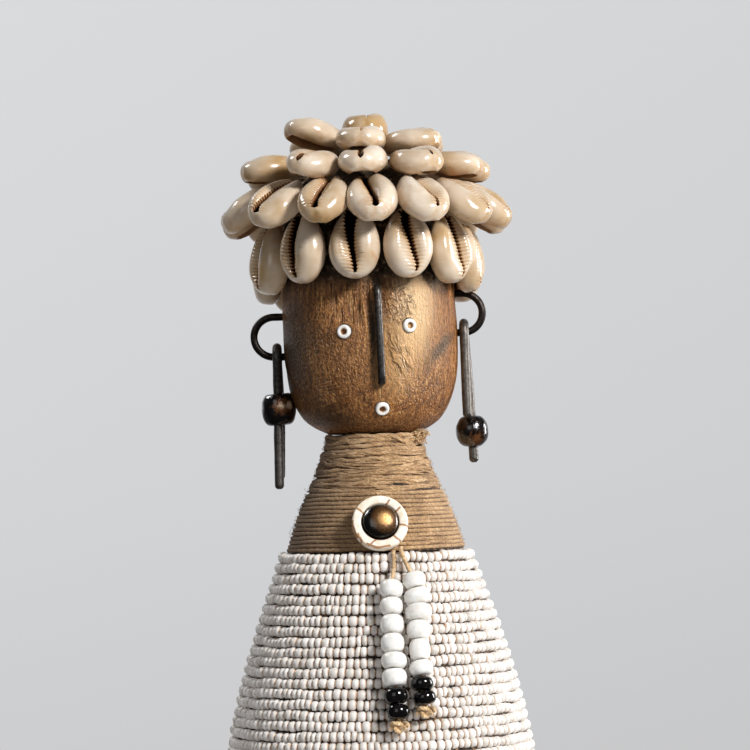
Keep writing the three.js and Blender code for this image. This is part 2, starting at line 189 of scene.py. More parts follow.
def uneven(count: int, radius: float, swell: float, pace: float, seed: Pair) -> np.ndarray:
    """The thickness of something worked by hand, which swells and thins along its length.

    Args:
        count: how many points it has.
        radius: half its thickness, in millimetres.
        swell: how far that strays, in millimetres.
        pace: how fast it strays.
        seed: two numbers that set it apart.

    Returns:
        Half its thickness at each point, in metres.
    """
    return np.array([radius + swell * chance(step * pace, *seed) for step in range(count)]) * MM


def closed(form: Form) -> Form:
    """Merges a form's doubles, fills its open ends and turns its faces outwards."""
    bmesh.ops.remove_doubles(form, verts=form.verts, dist=1e-7)
    bmesh.ops.holes_fill(form, edges=[edge for edge in form.edges if edge.is_boundary], sides=0)
    bmesh.ops.recalc_face_normals(form, faces=form.faces)
    return form


def turned(profile: Sequence[Point], sides: int) -> Form:
    """Turns a profile round +Z.

    Args:
        profile: radius and height of each corner.
        sides: how many sides the form has.

    Returns:
        The closed form.
    """
    form = bmesh.new()
    line = [form.verts.new((radius, 0, height)) for radius, height in profile]
    links = [form.edges.new(pair) for pair in zip(line, line[1:])]
    bmesh.ops.spin(
        form, geom=[*line, *links], cent=(0, 0, 0), axis=(0, 0, 1), dvec=(0, 0, 0),
        angle=tau, steps=sides, use_merge=True,
    )
    return closed(form)


def bulging(radius: float, half: float, rim: float, bore: float, power: float) -> list[Point]:
    """The profile of a pierced bead with flat ends and a bulging side.

    Args:
        radius: half its thickness.
        half: half its height.
        rim: radius of its flat ends.
        bore: radius of its hole.
        power: 2 for a round side, more for a squarer one.

    Returns:
        Radius and height of each corner.
    """
    steps, lip = 8, bore + 0.15
    profile = [(bore, -half * 0.9), (lip, -half)]
    for step in range(-steps, steps + 1):
        rise = sin(pi / 2 * step / steps)
        profile.append((rim + (radius - rim) * (1 - abs(rise) ** power) ** (1 / power), half * rise))
    return [*profile, (lip, half), (bore, half * 0.9), (bore, -half * 0.9)]


@dataclass(frozen=True)
class Strand:
    """How a rod, wire or twine is swept along a path.

    Attributes:
        sides: corners of its section.
        lobe: how far its two plies stand apart, as a share of the radius. A plain rod has none.
        twist: length of one whole turn of the plies, in metres.
        squash: thickness across the hint, as a share of that along it.
    """

    sides: int = 8
    lobe: float = 0.0
    twist: float = 1.0
    squash: float = 1.0

    def sweep(self, path: np.ndarray, radius: float | np.ndarray, hint: Point) -> Form:
        """Sweeps the section along a path, closed at both ends.

        Args:
            path: the centre line, in metres.
            radius: half the thickness, one number or one for each point.
            hint: a direction that the path never runs along, which the section keeps to.

        Returns:
            The strand. Its layer "lay" holds a point's place in the untwisted strand.
        """
        count = len(path)
        hint = np.array(hint, float)
        tangent = np.gradient(path, axis=0)
        tangent /= np.linalg.norm(tangent, axis=1)[:, None]
        first = hint - tangent * (tangent @ hint)[:, None]
        first /= np.linalg.norm(first, axis=1)[:, None]
        second = np.cross(tangent, first) * self.squash
        run = np.concatenate([[0], np.cumsum(np.linalg.norm(np.diff(path, axis=0), axis=1))])
        radii = np.broadcast_to(radius, count)
        form = bmesh.new()
        bmesh.ops.create_grid(form, x_segments=count - 1, y_segments=self.sides, size=1)
        lay = form.verts.layers.float_vector.new("lay")
        for corner in form.verts:
            step = round((corner.co.x + 1) / 2 * (count - 1))
            angle = round((corner.co.y + 1) / 2 * self.sides) % self.sides * tau / self.sides
            ply = angle - tau * run[step] / self.twist
            reach = radii[step] * (1 - self.lobe * sin(ply) ** 2)
            side = cos(angle) * first[step] + sin(angle) * second[step]
            corner.co = path[step] + reach * side
            corner[lay] = (radii[step] * cos(ply), radii[step] * sin(ply), run[step])
        return closed(form)


def as_mesh(form: Form) -> Mesh:
    """Turns a bmesh into a smooth-shaded mesh, and frees it."""
    mesh = bpy.data.meshes.new("form")
    for face in form.faces:
        face.smooth = True
    form.to_mesh(mesh)
    form.free()
    return mesh


def stamp(form: Form, mesh: Mesh, place: Matrix) -> None:
    """Adds a moved copy of a small mesh to a bmesh.

    Args:
        form: the bmesh.
        mesh: the small mesh.
        place: where the copy goes.
    """
    copy = mesh.copy()
    copy.transform(place)
    form.from_mesh(copy)
    bpy.data.meshes.remove(copy)


def gather(forms: Iterable[Form]) -> Form:
    """Puts several strands into one bmesh, and frees them."""
    whole = bmesh.new()
    whole.verts.layers.float_vector.new("lay")
    for form in forms:
        mesh = as_mesh(form)
        whole.from_mesh(mesh)
        bpy.data.meshes.remove(mesh)
    return whole


def placed(name: str, data: bpy.types.ID) -> bpy.types.Object:
    """A new object in the scene, which shows a mesh, a light or a camera."""
    made = bpy.data.objects.new(name, data)
    bpy.context.scene.collection.objects.link(made)
    return made


def add_piece(
    name: str, mesh: Mesh, finish: "Finish", slot: Slot, nodes: Sequence[str], sharp: float = 60.0
) -> bpy.types.Object:
    """Makes a mesh a finished piece of the doll.

    Args:
        name: its name.
        mesh: its mesh, already in place.
        finish: what it is made of.
        slot: the record's slot for that. Not used.
        nodes: the CAD nodes that it stands for.
        sharp: the angle in degrees from which an edge is sharp.

    Returns:
        The piece.
    """
    mesh.name = name
    mesh.set_sharp_from_angle(angle=radians(sharp))
    mesh.materials.clear()
    mesh.materials.append(finish.material())
    piece = placed(name, mesh)
    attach(piece, BODY)
    if nodes:
        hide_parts(*nodes)
    mesh.calc_loop_triangles()
    log.info("%s: %d triangles", name, len(mesh.loop_triangles))
    return piece


def tag(mesh: Mesh, name: str, values: Sequence[float]) -> None:
    """Writes one number for each vertex of a mesh, for its material to read."""
    layer = mesh.attributes.new(name, "FLOAT", "POINT")
    layer.data.foreach_set("value", np.ascontiguousarray(values, np.float32))


# Finishes

# The inputs of a Mix node by place: its share, its two numbers and its two colours
SHARE = 0
LESS, MORE = 2, 3
UNDER, OVER = 6, 7
BLENDED = {"data_type": "RGBA"}
MULTIPLIED = {"data_type": "RGBA", "blend_type": "MULTIPLY"}
EASED = {"interpolation_type": "SMOOTHSTEP"}


def linear(colour: str) -> tuple[float, float, float, float]:
    """Turns an sRGB hex colour such as #8a5a30 to linear."""
    channels = (int(colour[place : place + 2], 16) / 255 for place in (1, 3, 5))
    red, green, blue = (c / 12.92 if c <= 0.04045 else ((c + 0.055) / 1.055) ** 2.4 for c in channels)
    return red, green, blue, 1.0


def per(size: float) -> float:
    """The scale of a pattern whose features are some millimetres long."""
    return 1 / (size * MM)


def feed(node: Node, inputs: Inputs) -> None:
    """Gives a node's inputs their values and links.

    Args:
        node: the node.
        inputs: for each input, by name or place, a value, an output, or a node for its first live output.
    """
    for name, value in inputs.items():
        if isinstance(value, Node):
            value = next(socket for socket in value.outputs if socket.enabled)
        if isinstance(value, Socket):
            node.id_data.links.new(value, node.inputs[name])
        else:
            node.inputs[name].default_value = value


def add_node(
    tree: bpy.types.NodeTree, kind: str, inputs: Inputs | None = None,
    stops: Sequence[tuple[float, str]] = (), **settings: object,
) -> Node:
    """Adds a node with its settings and links.

    Args:
        tree: the node tree.
        kind: the node's type, without ShaderNode.
        inputs: what feeds its inputs.
        stops: places and hex colours of a colour ramp.
        settings: its own settings.

    Returns:
        The node.
    """
    node = tree.nodes.new("ShaderNode" + kind)
    for name, value in settings.items():
        setattr(node, name, value)
    feed(node, inputs or {})
    if stops:
        ramp = node.color_ramp
        while len(ramp.elements) < len(stops):
            ramp.elements.new(1.0)
        for element, (place, colour) in zip(ramp.elements, stops):
            element.position = place
            element.color = linear(colour)
    return node


class Finish:
    """A material that is made once, named for what it is and how it was worked."""

    name: str

    def material(self) -> bpy.types.Material:
        """The finish as a material."""
        made = bpy.data.materials.get(self.name)
        if made is None:
            made = bpy.data.materials.new(self.name)
            made.use_nodes = True
            tree = made.node_tree
            add = partial(add_node, tree)
            place = add("TexCoord").outputs["Object"]
            feed(tree.nodes["Principled BSDF"], self.paint(add, place))
        return made

    def paint(self, add: Adder, place: Socket) -> Inputs:
        """Makes the finish's nodes.

        Args:
            add: adds a node.
            place: object coordinates.

        Returns:
            What feeds its shader.
        """
        raise NotImplementedError


@dataclass(frozen=True)
class Mark:
    """A spot, streak or stain on the wood, or a painted shadow, shade or highlight.

    Attributes:
        at: its middle.
        size: its half lengths.
        colour: its colour.
        strength: how much of the wood it hides, 0 to 1.
        turn: its turn about the depth axis.
    """

    at: Triple
    size: Triple
    colour: str
    strength: float
    turn: float = 0.0


@dataclass(frozen=True)
class Grooves:
    """A patch of the wood where tool marks or drying cracks run in one direction.

    Attributes:
        at: its middle.
        size: its half lengths.
        turn: how far the grooves lean from upright, about the depth axis.
        pitch: distance between two grooves.
        run: length of a groove.
    """

    at: Triple
    size: Triple
    turn: float
    pitch: float
    run: float


@dataclass(frozen=True)
class BurnishedWood(Finish):
    """Light African hardwood, carved, stained and burnished: vertical grain, fine pores, a golden sheen.

    Attributes:
        grain: distance between grain streaks.
        streak: length of a grain streak.
        pore: size of a pore. Real pores are far smaller, and wouldn't show.
        crust: size of a crumb of dried glue.
        hairline: height where the dark stain under the hair starts.
        marks: pits, smears and stains, and painted shadows, shade and highlights.
        grooves: patches of tool marks and cracks.
    """

    name: str = "hardwood_carved_burnished"
    grain: float = 0.95
    streak: float = 16.0
    pore: float = 0.6
    crust: float = 1.6
    hairline: float = 238.0
    marks: tuple[Mark, ...] = (
        Mark((-17.0, -21.0, 216.6), (0.55, 3, 0.75), "#120a05", 0.95),
        # Painted highlight: a pale sliver under the nose
        Mark((2.4, -24.5, 202.8), (0.3, 3, 1.9), "#c99a5c", 0.6),
        Mark((-1.4, -25.0, 200.6), (1.3, 3, 1.5), "#3a2413", 0.6),
        # Painted shade in the hole where the nose staple's top end goes in
        Mark((2.2, -26.0, 237.9), (1.9, 3.9, 2.1), "#0e0704", 0.95),
        # Painted highlight: two pale marks where the burnished highlight falls, right of the nose and on
        # the right cheek
        Mark((14.5, -23.5, 231.0), (9.5, 10, 19.0), "#e8c798", 0.66, turn=6.0),
        Mark((10.0, -25.0, 216.0), (11.0, 10, 18.0), "#dcb078", 0.5, turn=14.0),
        # Painted shade: four dark marks on the left side and along the lower edge of the face
        Mark((-17.0, -18.0, 195.0), (19.0, 14, 7.5), "#241509", 0.75),
        Mark((6.0, -18.0, 191.5), (18.0, 16, 3.6), "#3d2612", 0.5),
        Mark((-27.0, -9.0, 216.0), (20.0, 26, 32.0), "#2b190a", 0.92),
        Mark((-9.0, -25.5, 211.0), (11.0, 9, 15.0), "#5d3a1e", 0.4),
        # Painted shadows of the fringe shells on the forehead and on the right temple
        Mark((-10.0, -24.0, 244.0), (24.0, 14, 6.5), "#2b1a0d", 0.55),
        Mark((21.0, -15.0, 241.0), (9.0, 9, 6.0), "#20130a", 0.85),
        # Painted shadow of the right ear loop across the right cheek
        Mark((21.9, -15.0, 217.0), (2.3, 30, 10.5), "#301b0c", 0.95, turn=40.0),
        # Painted shadow of the nose staple, along its left side
        Mark((0.6, -26.5, 223.0), (1.8, 8, 15.5), "#110804", 1.0, turn=-1.5),
    )
    grooves: tuple[Grooves, ...] = (
        Grooves((-6.5, -26.0, 232.5), (7.5, 7, 10.0), turn=0.0, pitch=1.35, run=20.0),
        Grooves((8.0, -25.0, 215.5), (4.2, 7, 8.5), turn=-24.0, pitch=1.3, run=4.0),
        Grooves((8.5, -25.5, 231.5), (6.5, 8, 8.5), turn=-15.0, pitch=1.0, run=1.5),
        Grooves((-13.0, -22.0, 199.5), (11.0, 9, 5.5), turn=78.0, pitch=1.4, run=12.0),
    )

    def patch(self, add: Adder, place: Socket, area: Mark | Grooves) -> tuple[Node, Node]:
        """Turns the wood's coordinates to those of an area of it.

        Args:
            add: adds a node.
            place: object coordinates.
            area: the area.

        Returns:
            Its own coordinates, 1 long at its edge, and the distance from its middle.
        """
        own = add(
            "Mapping",
            {
                "Vector": place, "Location": [at * MM for at in area.at],
                "Rotation": (0, radians(area.turn), 0), "Scale": [size * MM for size in area.size],
            },
            vector_type="TEXTURE",
        )
        return own, add("VectorMath", {0: own}, operation="LENGTH")

    def marked(self, add: Adder, place: Socket, pores: Node, colour: Node) -> Node:
        """Lays the marks on the wood, small ones with a crisp edge and large ones with a soft one.

        Args:
            add: adds a node.
            place: object coordinates.
            pores: what makes their edges ragged.
            colour: the wood's colour.

        Returns:
            The marked colour.
        """
        for mark in self.marks:
            reach = self.patch(add, place, mark)[1]
            rough = add("Math", {0: pores, 1: 0.7, 2: reach}, operation="MULTIPLY_ADD")
            edge = 0.9 if max(mark.size) < 4 else 0.45
            share = add(
                "MapRange",
                {"Value": rough, "From Min": 1.5, "From Max": edge, "To Max": mark.strength}, **EASED,
            )
            colour = add("Mix", {SHARE: share, UNDER: colour, OVER: linear(mark.colour)}, **BLENDED)
        return colour

    def tooled(self, add: Adder, place: Socket) -> Node | float:
        """How deep the grooves cut.

        Args:
            add: adds a node.
            place: object coordinates.

        Returns:
            The depth, 0 to 1.
        """
        cut: Node | float = 0.0
        for area in self.grooves:
            own, reach = self.patch(add, place, area)
            wide, tall = area.size[0] / area.pitch, area.size[2] / area.run
            drawn = add("Mapping", {"Vector": own, "Scale": (wide, 0.5, tall)})
            ridges = add("TexNoise", {"Vector": drawn, "Scale": 1, "Detail": 2, "Distortion": 0.5})
            deep = add("MapRange", {"Value": ridges, "From Min": 0.56, "From Max": 0.4})
            inside = add("MapRange", {"Value": reach, "From Min": 1.15, "From Max": 0.55}, **EASED)
            cut = add("Math", {0: deep, 1: inside, 2: cut}, operation="MULTIPLY_ADD")
        return cut

    def paint(self, add: Adder, place: Socket) -> Inputs:
        """Lays grain, pores, stain, marks and grooves over each other."""
        swirl = add("TexNoise", {"Vector": place, "Scale": per(30), "Detail": 1.0})
        bent = add(
            "VectorMath", {0: swirl.outputs["Color"], 1: (8 * MM, 8 * MM, 0), 2: place},
            operation="MULTIPLY_ADD",
        )
        drawn = add(
            "Mapping", {"Vector": bent, "Scale": (per(self.grain), per(self.grain), per(self.streak))},
        )
        grain = add("TexNoise", {"Vector": drawn, "Scale": 1, "Detail": 3, "Roughness": 0.62})
        upright = (per(self.pore), per(self.pore), 0.6 * per(self.pore))
        long = add("Mapping", {"Vector": place, "Scale": upright})
        pores = add("TexNoise", {"Vector": long, "Scale": 1, "Detail": 2.5, "Roughness": 0.65})
        broad = add("TexNoise", {"Vector": place, "Scale": per(15), "Detail": 3, "Roughness": 0.55})
        wood = add(
            "ValToRGB", {"Fac": grain},
            [(0.26, "#6a4324"), (0.44, "#956033"), (0.56, "#b98248"), (0.76, "#dfae74")],
        )
        specks = add("ValToRGB", {"Fac": pores}, [(0.36, "#6b5240"), (0.52, "#e8ddd2"), (0.6, "#ffffff")])
        specked = add("Mix", {SHARE: 0.8, UNDER: wood, OVER: specks}, **MULTIPLIED)
        clouds = add("ValToRGB", {"Fac": broad}, [(0.32, "#8a7360"), (0.52, "#e0d6ca"), (0.7, "#ffffff")])
        clouded = add("Mix", {SHARE: 0.55, UNDER: specked, OVER: clouds}, **MULTIPLIED)
        marked = self.marked(add, place, pores, clouded)
        cut = self.tooled(add, place)
        darker = add("Math", {0: cut, 1: 0.5}, operation="MULTIPLY")
        carved = add("Mix", {SHARE: darker, UNDER: marked, OVER: linear("#5a3717")}, **BLENDED)
        # Under the hair the wood is stained nearly black and smeared with pale dried glue
        height = add("SeparateXYZ", {0: place}).outputs["Z"]
        ragged = add("Math", {0: broad, 1: 5 * MM, 2: height}, operation="MULTIPLY_ADD")
        low, high = (self.hairline - 1) * MM, (self.hairline + 6) * MM
        covered = add("MapRange", {"Value": ragged, "From Min": low, "From Max": high}, **EASED)
        crust = add(
            "TexNoise", {"Vector": place, "Scale": per(self.crust), "Detail": 4, "Roughness": 0.75},
        )
        glue = add(
            "ValToRGB", {"Fac": crust},
            [(0.4, "#0e0805"), (0.53, "#2c1b0f"), (0.61, "#5e4730"), (0.72, "#a39784")],
        )
        dressed = add("Mix", {SHARE: covered, UNDER: carved, OVER: glue}, **BLENDED)
        sheen = add(
            "MapRange",
            {"Value": pores, "From Min": 0.3, "From Max": 0.7, "To Min": 0.52, "To Max": 0.32},
        )
        dull = add("Mix", {SHARE: covered, LESS: sheen, MORE: 0.85})
        lines = add("Bump", {"Strength": 0.6, "Distance": 0.25 * MM, "Height": grain})
        pits = add("Bump", {"Strength": 1.0, "Distance": 0.7 * MM, "Height": pores, "Normal": lines})
        grooved = add(
            "Bump", {"Strength": 1.0, "Distance": 0.7 * MM, "Height": cut, "Normal": pits}, invert=True,
        )
        lumps = add("Mix", {SHARE: covered, LESS: 0.0, MORE: crust})
        crusted = add("Bump", {"Strength": 0.8, "Distance": 1.2 * MM, "Height": lumps, "Normal": grooved})
        # The stained rim of the face is duller than its burnished front
        rim = add("LayerWeight", {"Blend": 0.5}).outputs["Facing"]
        gleam = add(
            "MapRange", {"Value": rim, "From Min": 0.35, "From Max": 0.8, "To Min": 1.0, "To Max": 0.15},
        )
        return {
            "Base Color": dressed, "Roughness": dull, "Normal": crusted, "IOR": 1.5,
            "Specular IOR Level": gleam, "Specular Tint": linear("#ffe8c8"),
        }


@dataclass(frozen=True)
class PolishedShell(Finish):
    """Ring cowrie, natural: a porcelain gloss over cream and tan clouds, with painted shade, part brown
    dirt, in every hollow.
    """

    name: str = "cowrie_shell_natural"

    def paint(self, add: Adder, place: Socket) -> Inputs:
        """Lays clouds, stains and the painted shade of the hollows over each other. Deep in a hollow the
        painted shade also takes the gloss away.
        """
        tone, recess = (
            add("Attribute", attribute_name=name).outputs["Fac"] for name in ("tone", "recess")
        )
        broad = add("TexNoise", {"Vector": place, "Scale": per(10), "Detail": 2, "Roughness": 0.5})
        cloudy = add("Math", {0: tone, 1: 0.25, 2: broad}, operation="MULTIPLY_ADD")
        enamel = add(
            "ValToRGB", {"Fac": cloudy},
            [(0.25, "#b4966c"), (0.5, "#cbb9a3"), (0.68, "#dbccba"), (0.9, "#ebe4da")],
        )
        stain = add("TexNoise", {"Vector": place, "Scale": per(11), "Detail": 5, "Roughness": 0.7})
        spots = add("MapRange", {"Value": stain, "From Min": 0.57, "From Max": 0.7, "To Max": 0.62})
        stained = add("Mix", {SHARE: spots, UNDER: enamel, OVER: linear("#bf8a4c")}, **BLENDED)
        # Painted shade, part brown dirt: brown to near black the deeper a corner lies in a hollow
        hollow_shade = add(
            "ValToRGB", {"Fac": recess},
            [(0.0, "#ffffff"), (0.2, "#efddc3"), (0.42, "#c29b70"), (0.62, "#76502e"), (0.85, "#140c07")],
        )
        dressed = add("Mix", {SHARE: 1.0, UNDER: stained, OVER: hollow_shade}, **MULTIPLIED)
        fine = add("TexNoise", {"Vector": place, "Scale": per(2.2), "Detail": 2})
        worn = add(
            "MapRange",
            {"Value": fine, "From Min": 0.3, "From Max": 0.75, "To Min": 0.12, "To Max": 0.26},
        )
        dull = add("Mix", {SHARE: recess, LESS: worn, MORE: 0.8})
        specular, coat = (
            add(
                "MapRange",
                {"Value": recess, "From Min": 0.45, "From Max": 0.8, "To Min": gloss, "To Max": 0.0},
            )
            for gloss in (0.5, 0.25)
        )
        ripple = add("Bump", {"Strength": 0.25, "Distance": 0.15 * MM, "Height": fine})
        return {
            "Base Color": dressed, "Roughness": dull, "Normal": ripple, "IOR": 1.56,
            "Specular IOR Level": specular, "Coat Weight": coat, "Coat Roughness": 0.1,
        }


@dataclass(frozen=True)
class SeedGlass(Finish):
    """White soda glass, drawn and tumbled: a soft gloss, chalk to grey from bead to bead, tan ends of dust
    and painted shade.
    """

    name: str = "soda_glass_seed_beads"

    def paint(self, add: Adder, place: Socket) -> Inputs:
        """Lays each bead's own tone and its ends, tan with dust and with painted shade where neighbours
        meet.
        """
        tone, dust = (
            add("Attribute", attribute_name=name).outputs["Fac"] for name in ("tone", "dust")
        )
        glass = add(
            "ValToRGB", {"Fac": tone},
            [(0.0, "#c2bbb3"), (0.3, "#d6d0c8"), (0.65, "#e4ded8"), (1.0, "#eeeae5")],
        )
        clouds = add("TexNoise", {"Vector": place, "Scale": per(1.1), "Detail": 2})
        mottled = add(
            "Mix", {SHARE: 0.12, UNDER: glass, OVER: clouds.outputs["Color"]},
            data_type="RGBA", blend_type="OVERLAY",
        )
        # Tan ends: dust, and painted shade where the beads meet
        ends = add("MapRange", {"Value": dust, "From Min": 0.35, "From Max": 1.0, "To Max": 0.8})
        dressed = add("Mix", {SHARE: ends, UNDER: mottled, OVER: linear("#c59a6c")}, **BLENDED)
        dull = add("Mix", {SHARE: ends, LESS: 0.3, MORE: 0.8})
        return {"Base Color": dressed, "Roughness": dull, "IOR": 1.5}


@dataclass(frozen=True)
class PressedGlass(Finish):
    """Opaque glass, wound or pressed and fire-polished: a clear gloss with faint ripples.

    Attributes:
        colour: the body of the glass.
        shade: its second, cloudy colour.
        gloss: roughness of its skin.
        cloud: size of a cloud.
    """

    name: str = "opaque_glass_fire_polished"
    colour: str = "#f4f2ee"
    shade: str = "#e6e2da"
    gloss: float = 0.26
    cloud: float = 2.5

    def paint(self, add: Adder, place: Socket) -> Inputs:
        """Lays clouds in the glass, dust and painted shade round its holes, and ripples on its skin."""
        clouds = add("TexNoise", {"Vector": place, "Scale": per(self.cloud), "Detail": 3})
        body = add("ValToRGB", {"Fac": clouds}, [(0.38, self.shade), (0.58, self.colour)])
        dust = add("Attribute", attribute_name="dust").outputs["Fac"]
        # Dust and painted shade round the holes
        dust_and_shade_tinted = add("Mix", {SHARE: dust, UNDER: body, OVER: linear("#a3784a")}, **BLENDED)
        ripple = add("Bump", {"Strength": 0.15, "Distance": 0.08 * MM, "Height": clouds})
        skin = add("MapRange", {"Value": clouds, "To Min": self.gloss * 0.8, "To Max": self.gloss * 1.25})
        return {"Base Color": dust_and_shade_tinted, "Roughness": skin, "Normal": ripple, "IOR": 1.52}


@dataclass(frozen=True)
class LustreGlass(Finish):
    """Dark glass with a bronze lustre fired on: black at the rim, warm gold-brown on the crown. The lustre
    is laid where highlights and reflections fall, so in part it is painted highlight.

    Attributes:
        bare: colour of the glass where the lustre has worn off.
        thin: colour where the lustre is thin.
        thick: colour where it is thickest, and of the painted highlight.
        dent: size of a dent in its skin.
    """

    name: str = "glass_bronze_lustre"
    bare: str = "#0b0705"
    thin: str = "#5f3f20"
    thick: str = "#c99a5e"
    dent: float = 0.55

    def paint(self, add: Adder, place: Socket) -> Inputs:
        """Lays the lustre, in part painted highlight, from crown to rim, with a fine metal grain. Bare
        glass has a wet gloss.
        """
        lustre, edge = (
            add("Attribute", attribute_name=name).outputs["Fac"] for name in ("lustre", "edge")
        )
        grain = add("TexNoise", {"Vector": place, "Scale": per(self.dent), "Detail": 3})
        ragged = add("Math", {0: grain, 1: 0.45, 2: lustre}, operation="MULTIPLY_ADD")
        share = add("MapRange", {"Value": ragged, "From Min": 0.28, "From Max": 1.25})
        body = add("ValToRGB", {"Fac": share}, [(0.0, self.bare), (0.45, self.thin), (0.9, self.thick)])
        metal = add("Math", {0: share, 1: 0.7}, operation="MULTIPLY")
        covered = add("Math", {0: share, 1: edge}, operation="MAXIMUM")
        coat, specular = (
            add("MapRange", {"Value": worn, "From Max": 0.6, "To Min": gloss, "To Max": 0.0})
            for worn, gloss in ((covered, 0.9), (edge, 0.5))
        )
        skin = add("MapRange", {"Value": share, "To Min": 0.2, "To Max": 0.46})
        dull = add("Mix", {SHARE: edge, LESS: skin, MORE: 0.7})
        dents = add("Bump", {"Strength": 0.6, "Distance": 0.3 * self.dent * MM, "Height": grain})
        return {
            "Base Color": body, "Metallic": metal, "Roughness": dull, "Normal": dents,
            "Specular IOR Level": specular, "Coat Weight": coat, "Coat Roughness": 0.04,
        }


@dataclass(frozen=True)
class ForgedIron(Finish):
    """Wrought iron wire, hammered and fire-blackened: satin, with grey rubbed spots and brown scale.

    Attributes:
        name: the material's name.
        dark: colour of the scale.
        rubbed: colour where hands have rubbed it.
        worn: how much is rubbed, 0 to 1.
    """

    name: str
    dark: str
    rubbed: str
    worn: float

    def paint(self, add: Adder, place: Socket) -> Inputs:
        """Lays scale, rubbed spots and hammer marks."""
        scale = add("TexNoise", {"Vector": place, "Scale": per(1.1), "Detail": 5, "Roughness": 0.72})
        body = add(
            "ValToRGB", {"Fac": scale},
            [(0.36 - 0.1 * self.worn, self.dark), (0.85 - 0.2 * self.worn, self.rubbed)],
        )
        skin = add(
            "MapRange",
            {"Value": scale, "From Min": 0.3, "From Max": 0.7, "To Min": 0.5, "To Max": 0.28},
        )
        pits = add("Bump", {"Strength": 0.5, "Distance": 0.2 * MM, "Height": scale})
        return {"Base Color": body, "Metallic": 0.85, "Roughness": skin, "Normal": pits}


@dataclass(frozen=True)
class PlantTwine(Finish):
    """Raffia and bast fibre, twisted by hand: matt straw and brown fibres that follow the twist.

    Attributes:
        length: how far a bundle of fibres keeps its colour.
        pale: colour of the palest fibres.
        mid: colour of most fibres.
        dark: colour of the brown ones.
        nap: size of the fuzz. It is drawn coarser than real fuzz, which wouldn't show.
        fibre: thickness of a bundle of fibres. Single fibres are too fine to show.
        left_shade_span: sideways places where the painted shade on the left side is full and where it ends.
    """

    name: str = "bast_fibre_twisted"
    length: float = 8.0
    pale: str = "#ecd3ac"
    mid: str = "#c79f70"
    dark: str = "#7a532e"
    nap: float = 0.6
    fibre: float = 0.28
    left_shade_span: Pair = (-26.0, 2.0)

    def paint(self, add: Adder, place: Socket) -> Inputs:
        """Lays the fibres along the strand, soft dirt and flecks over them, and painted shade on the left
        side.
        """
        lay = add("Attribute", attribute_name="lay").outputs["Vector"]
        drawn = add(
            "Mapping", {"Vector": lay, "Scale": (per(self.fibre), per(self.fibre), per(self.length))},
        )
        fibres = add("TexNoise", {"Vector": drawn, "Scale": 1, "Detail": 3, "Roughness": 0.65})
        broad = add("TexNoise", {"Vector": place, "Scale": per(6), "Detail": 4, "Roughness": 0.6})
        body = add("ValToRGB", {"Fac": fibres}, [(0.3, self.dark), (0.48, self.mid), (0.68, self.pale)])
        dirt = add("ValToRGB", {"Fac": broad}, [(0.36, "#8a735c"), (0.52, "#e2dad0"), (0.64, "#ffffff")])
        dirty = add("Mix", {SHARE: 0.4, UNDER: body, OVER: dirt}, **MULTIPLIED)
        nap = add("TexNoise", {"Vector": place, "Scale": per(self.nap), "Detail": 2, "Roughness": 0.6})
        flecks = add("ValToRGB", {"Fac": nap}, [(0.36, "#6f563f"), (0.5, "#dcd2c6"), (0.6, "#ffffff")])
        flecked = add("Mix", {SHARE: 0.4, UNDER: dirty, OVER: flecks}, **MULTIPLIED)
        # Painted shade: the twine darkens towards its left side, which faces away from the key light
        across = add("SeparateXYZ", {0: place}).outputs["X"]
        full, end = self.left_shade_span
        left_shade = add(
            "MapRange",
            {"Value": across, "From Min": full * MM, "From Max": end * MM, "To Min": 0.8, "To Max": 0.0},
        )
        left_shaded = add("Mix", {SHARE: left_shade, UNDER: flecked, OVER: linear("#5a4028")}, **BLENDED)
        hairy = add("Bump", {"Strength": 0.9, "Distance": 0.25 * MM, "Height": fibres})
        napped = add("Bump", {"Strength": 0.9, "Distance": 0.24 * MM, "Height": nap, "Normal": hairy})
        return {"Base Color": left_shaded, "Roughness": 0.92, "Normal": napped, "Sheen Weight": 0.15}


@dataclass(frozen=True)
class TurnedBone(Finish):
    """Bone, turned and polished: ivory with a brown tide at the inner edge, brown hair cracks and painted
    shade on the inner wall.
    """

    name: str = "bone_turned_polished"

    def paint(self, add: Adder, place: Socket) -> Inputs:
        """Lays the tide, the painted shade of the inner wall and the cracks on the bone."""
        crack, tide = (
            add("Attribute", attribute_name=name).outputs["Fac"] for name in ("crack", "tide")
        )
        clouds = add("TexNoise", {"Vector": place, "Scale": per(2.6), "Detail": 4, "Roughness": 0.6})
        body = add("ValToRGB", {"Fac": clouds}, [(0.35, "#e3d2b8"), (0.55, "#f1e6d5"), (0.7, "#f8f1e6")])
        stain = add("MapRange", {"Value": tide, "From Min": 0.3, "From Max": 1.0, "To Max": 0.6})
        tinted = add("Mix", {SHARE: stain, UNDER: body, OVER: linear("#c79a63")}, **BLENDED)
        # Painted shade: the inner wall, in the narrow gap round the dome, is near black
        bore = add("MapRange", {"Value": tide, "From Min": 1.1, "From Max": 1.7})
        wall_shaded = add("Mix", {SHARE: bore, UNDER: tinted, OVER: linear("#1a0f08")}, **BLENDED)
        split = add("MapRange", {"Value": crack, "From Min": 0.25, "From Max": 0.7, "To Max": 0.9})
        dressed = add("Mix", {SHARE: split, UNDER: wall_shaded, OVER: linear("#9c652a")}, **BLENDED)
        dents = add("Bump", {"Strength": 0.4, "Distance": 0.15 * MM, "Height": crack}, invert=True)
        return {"Base Color": dressed, "Roughness": 0.36, "Normal": dents, "IOR": 1.54}


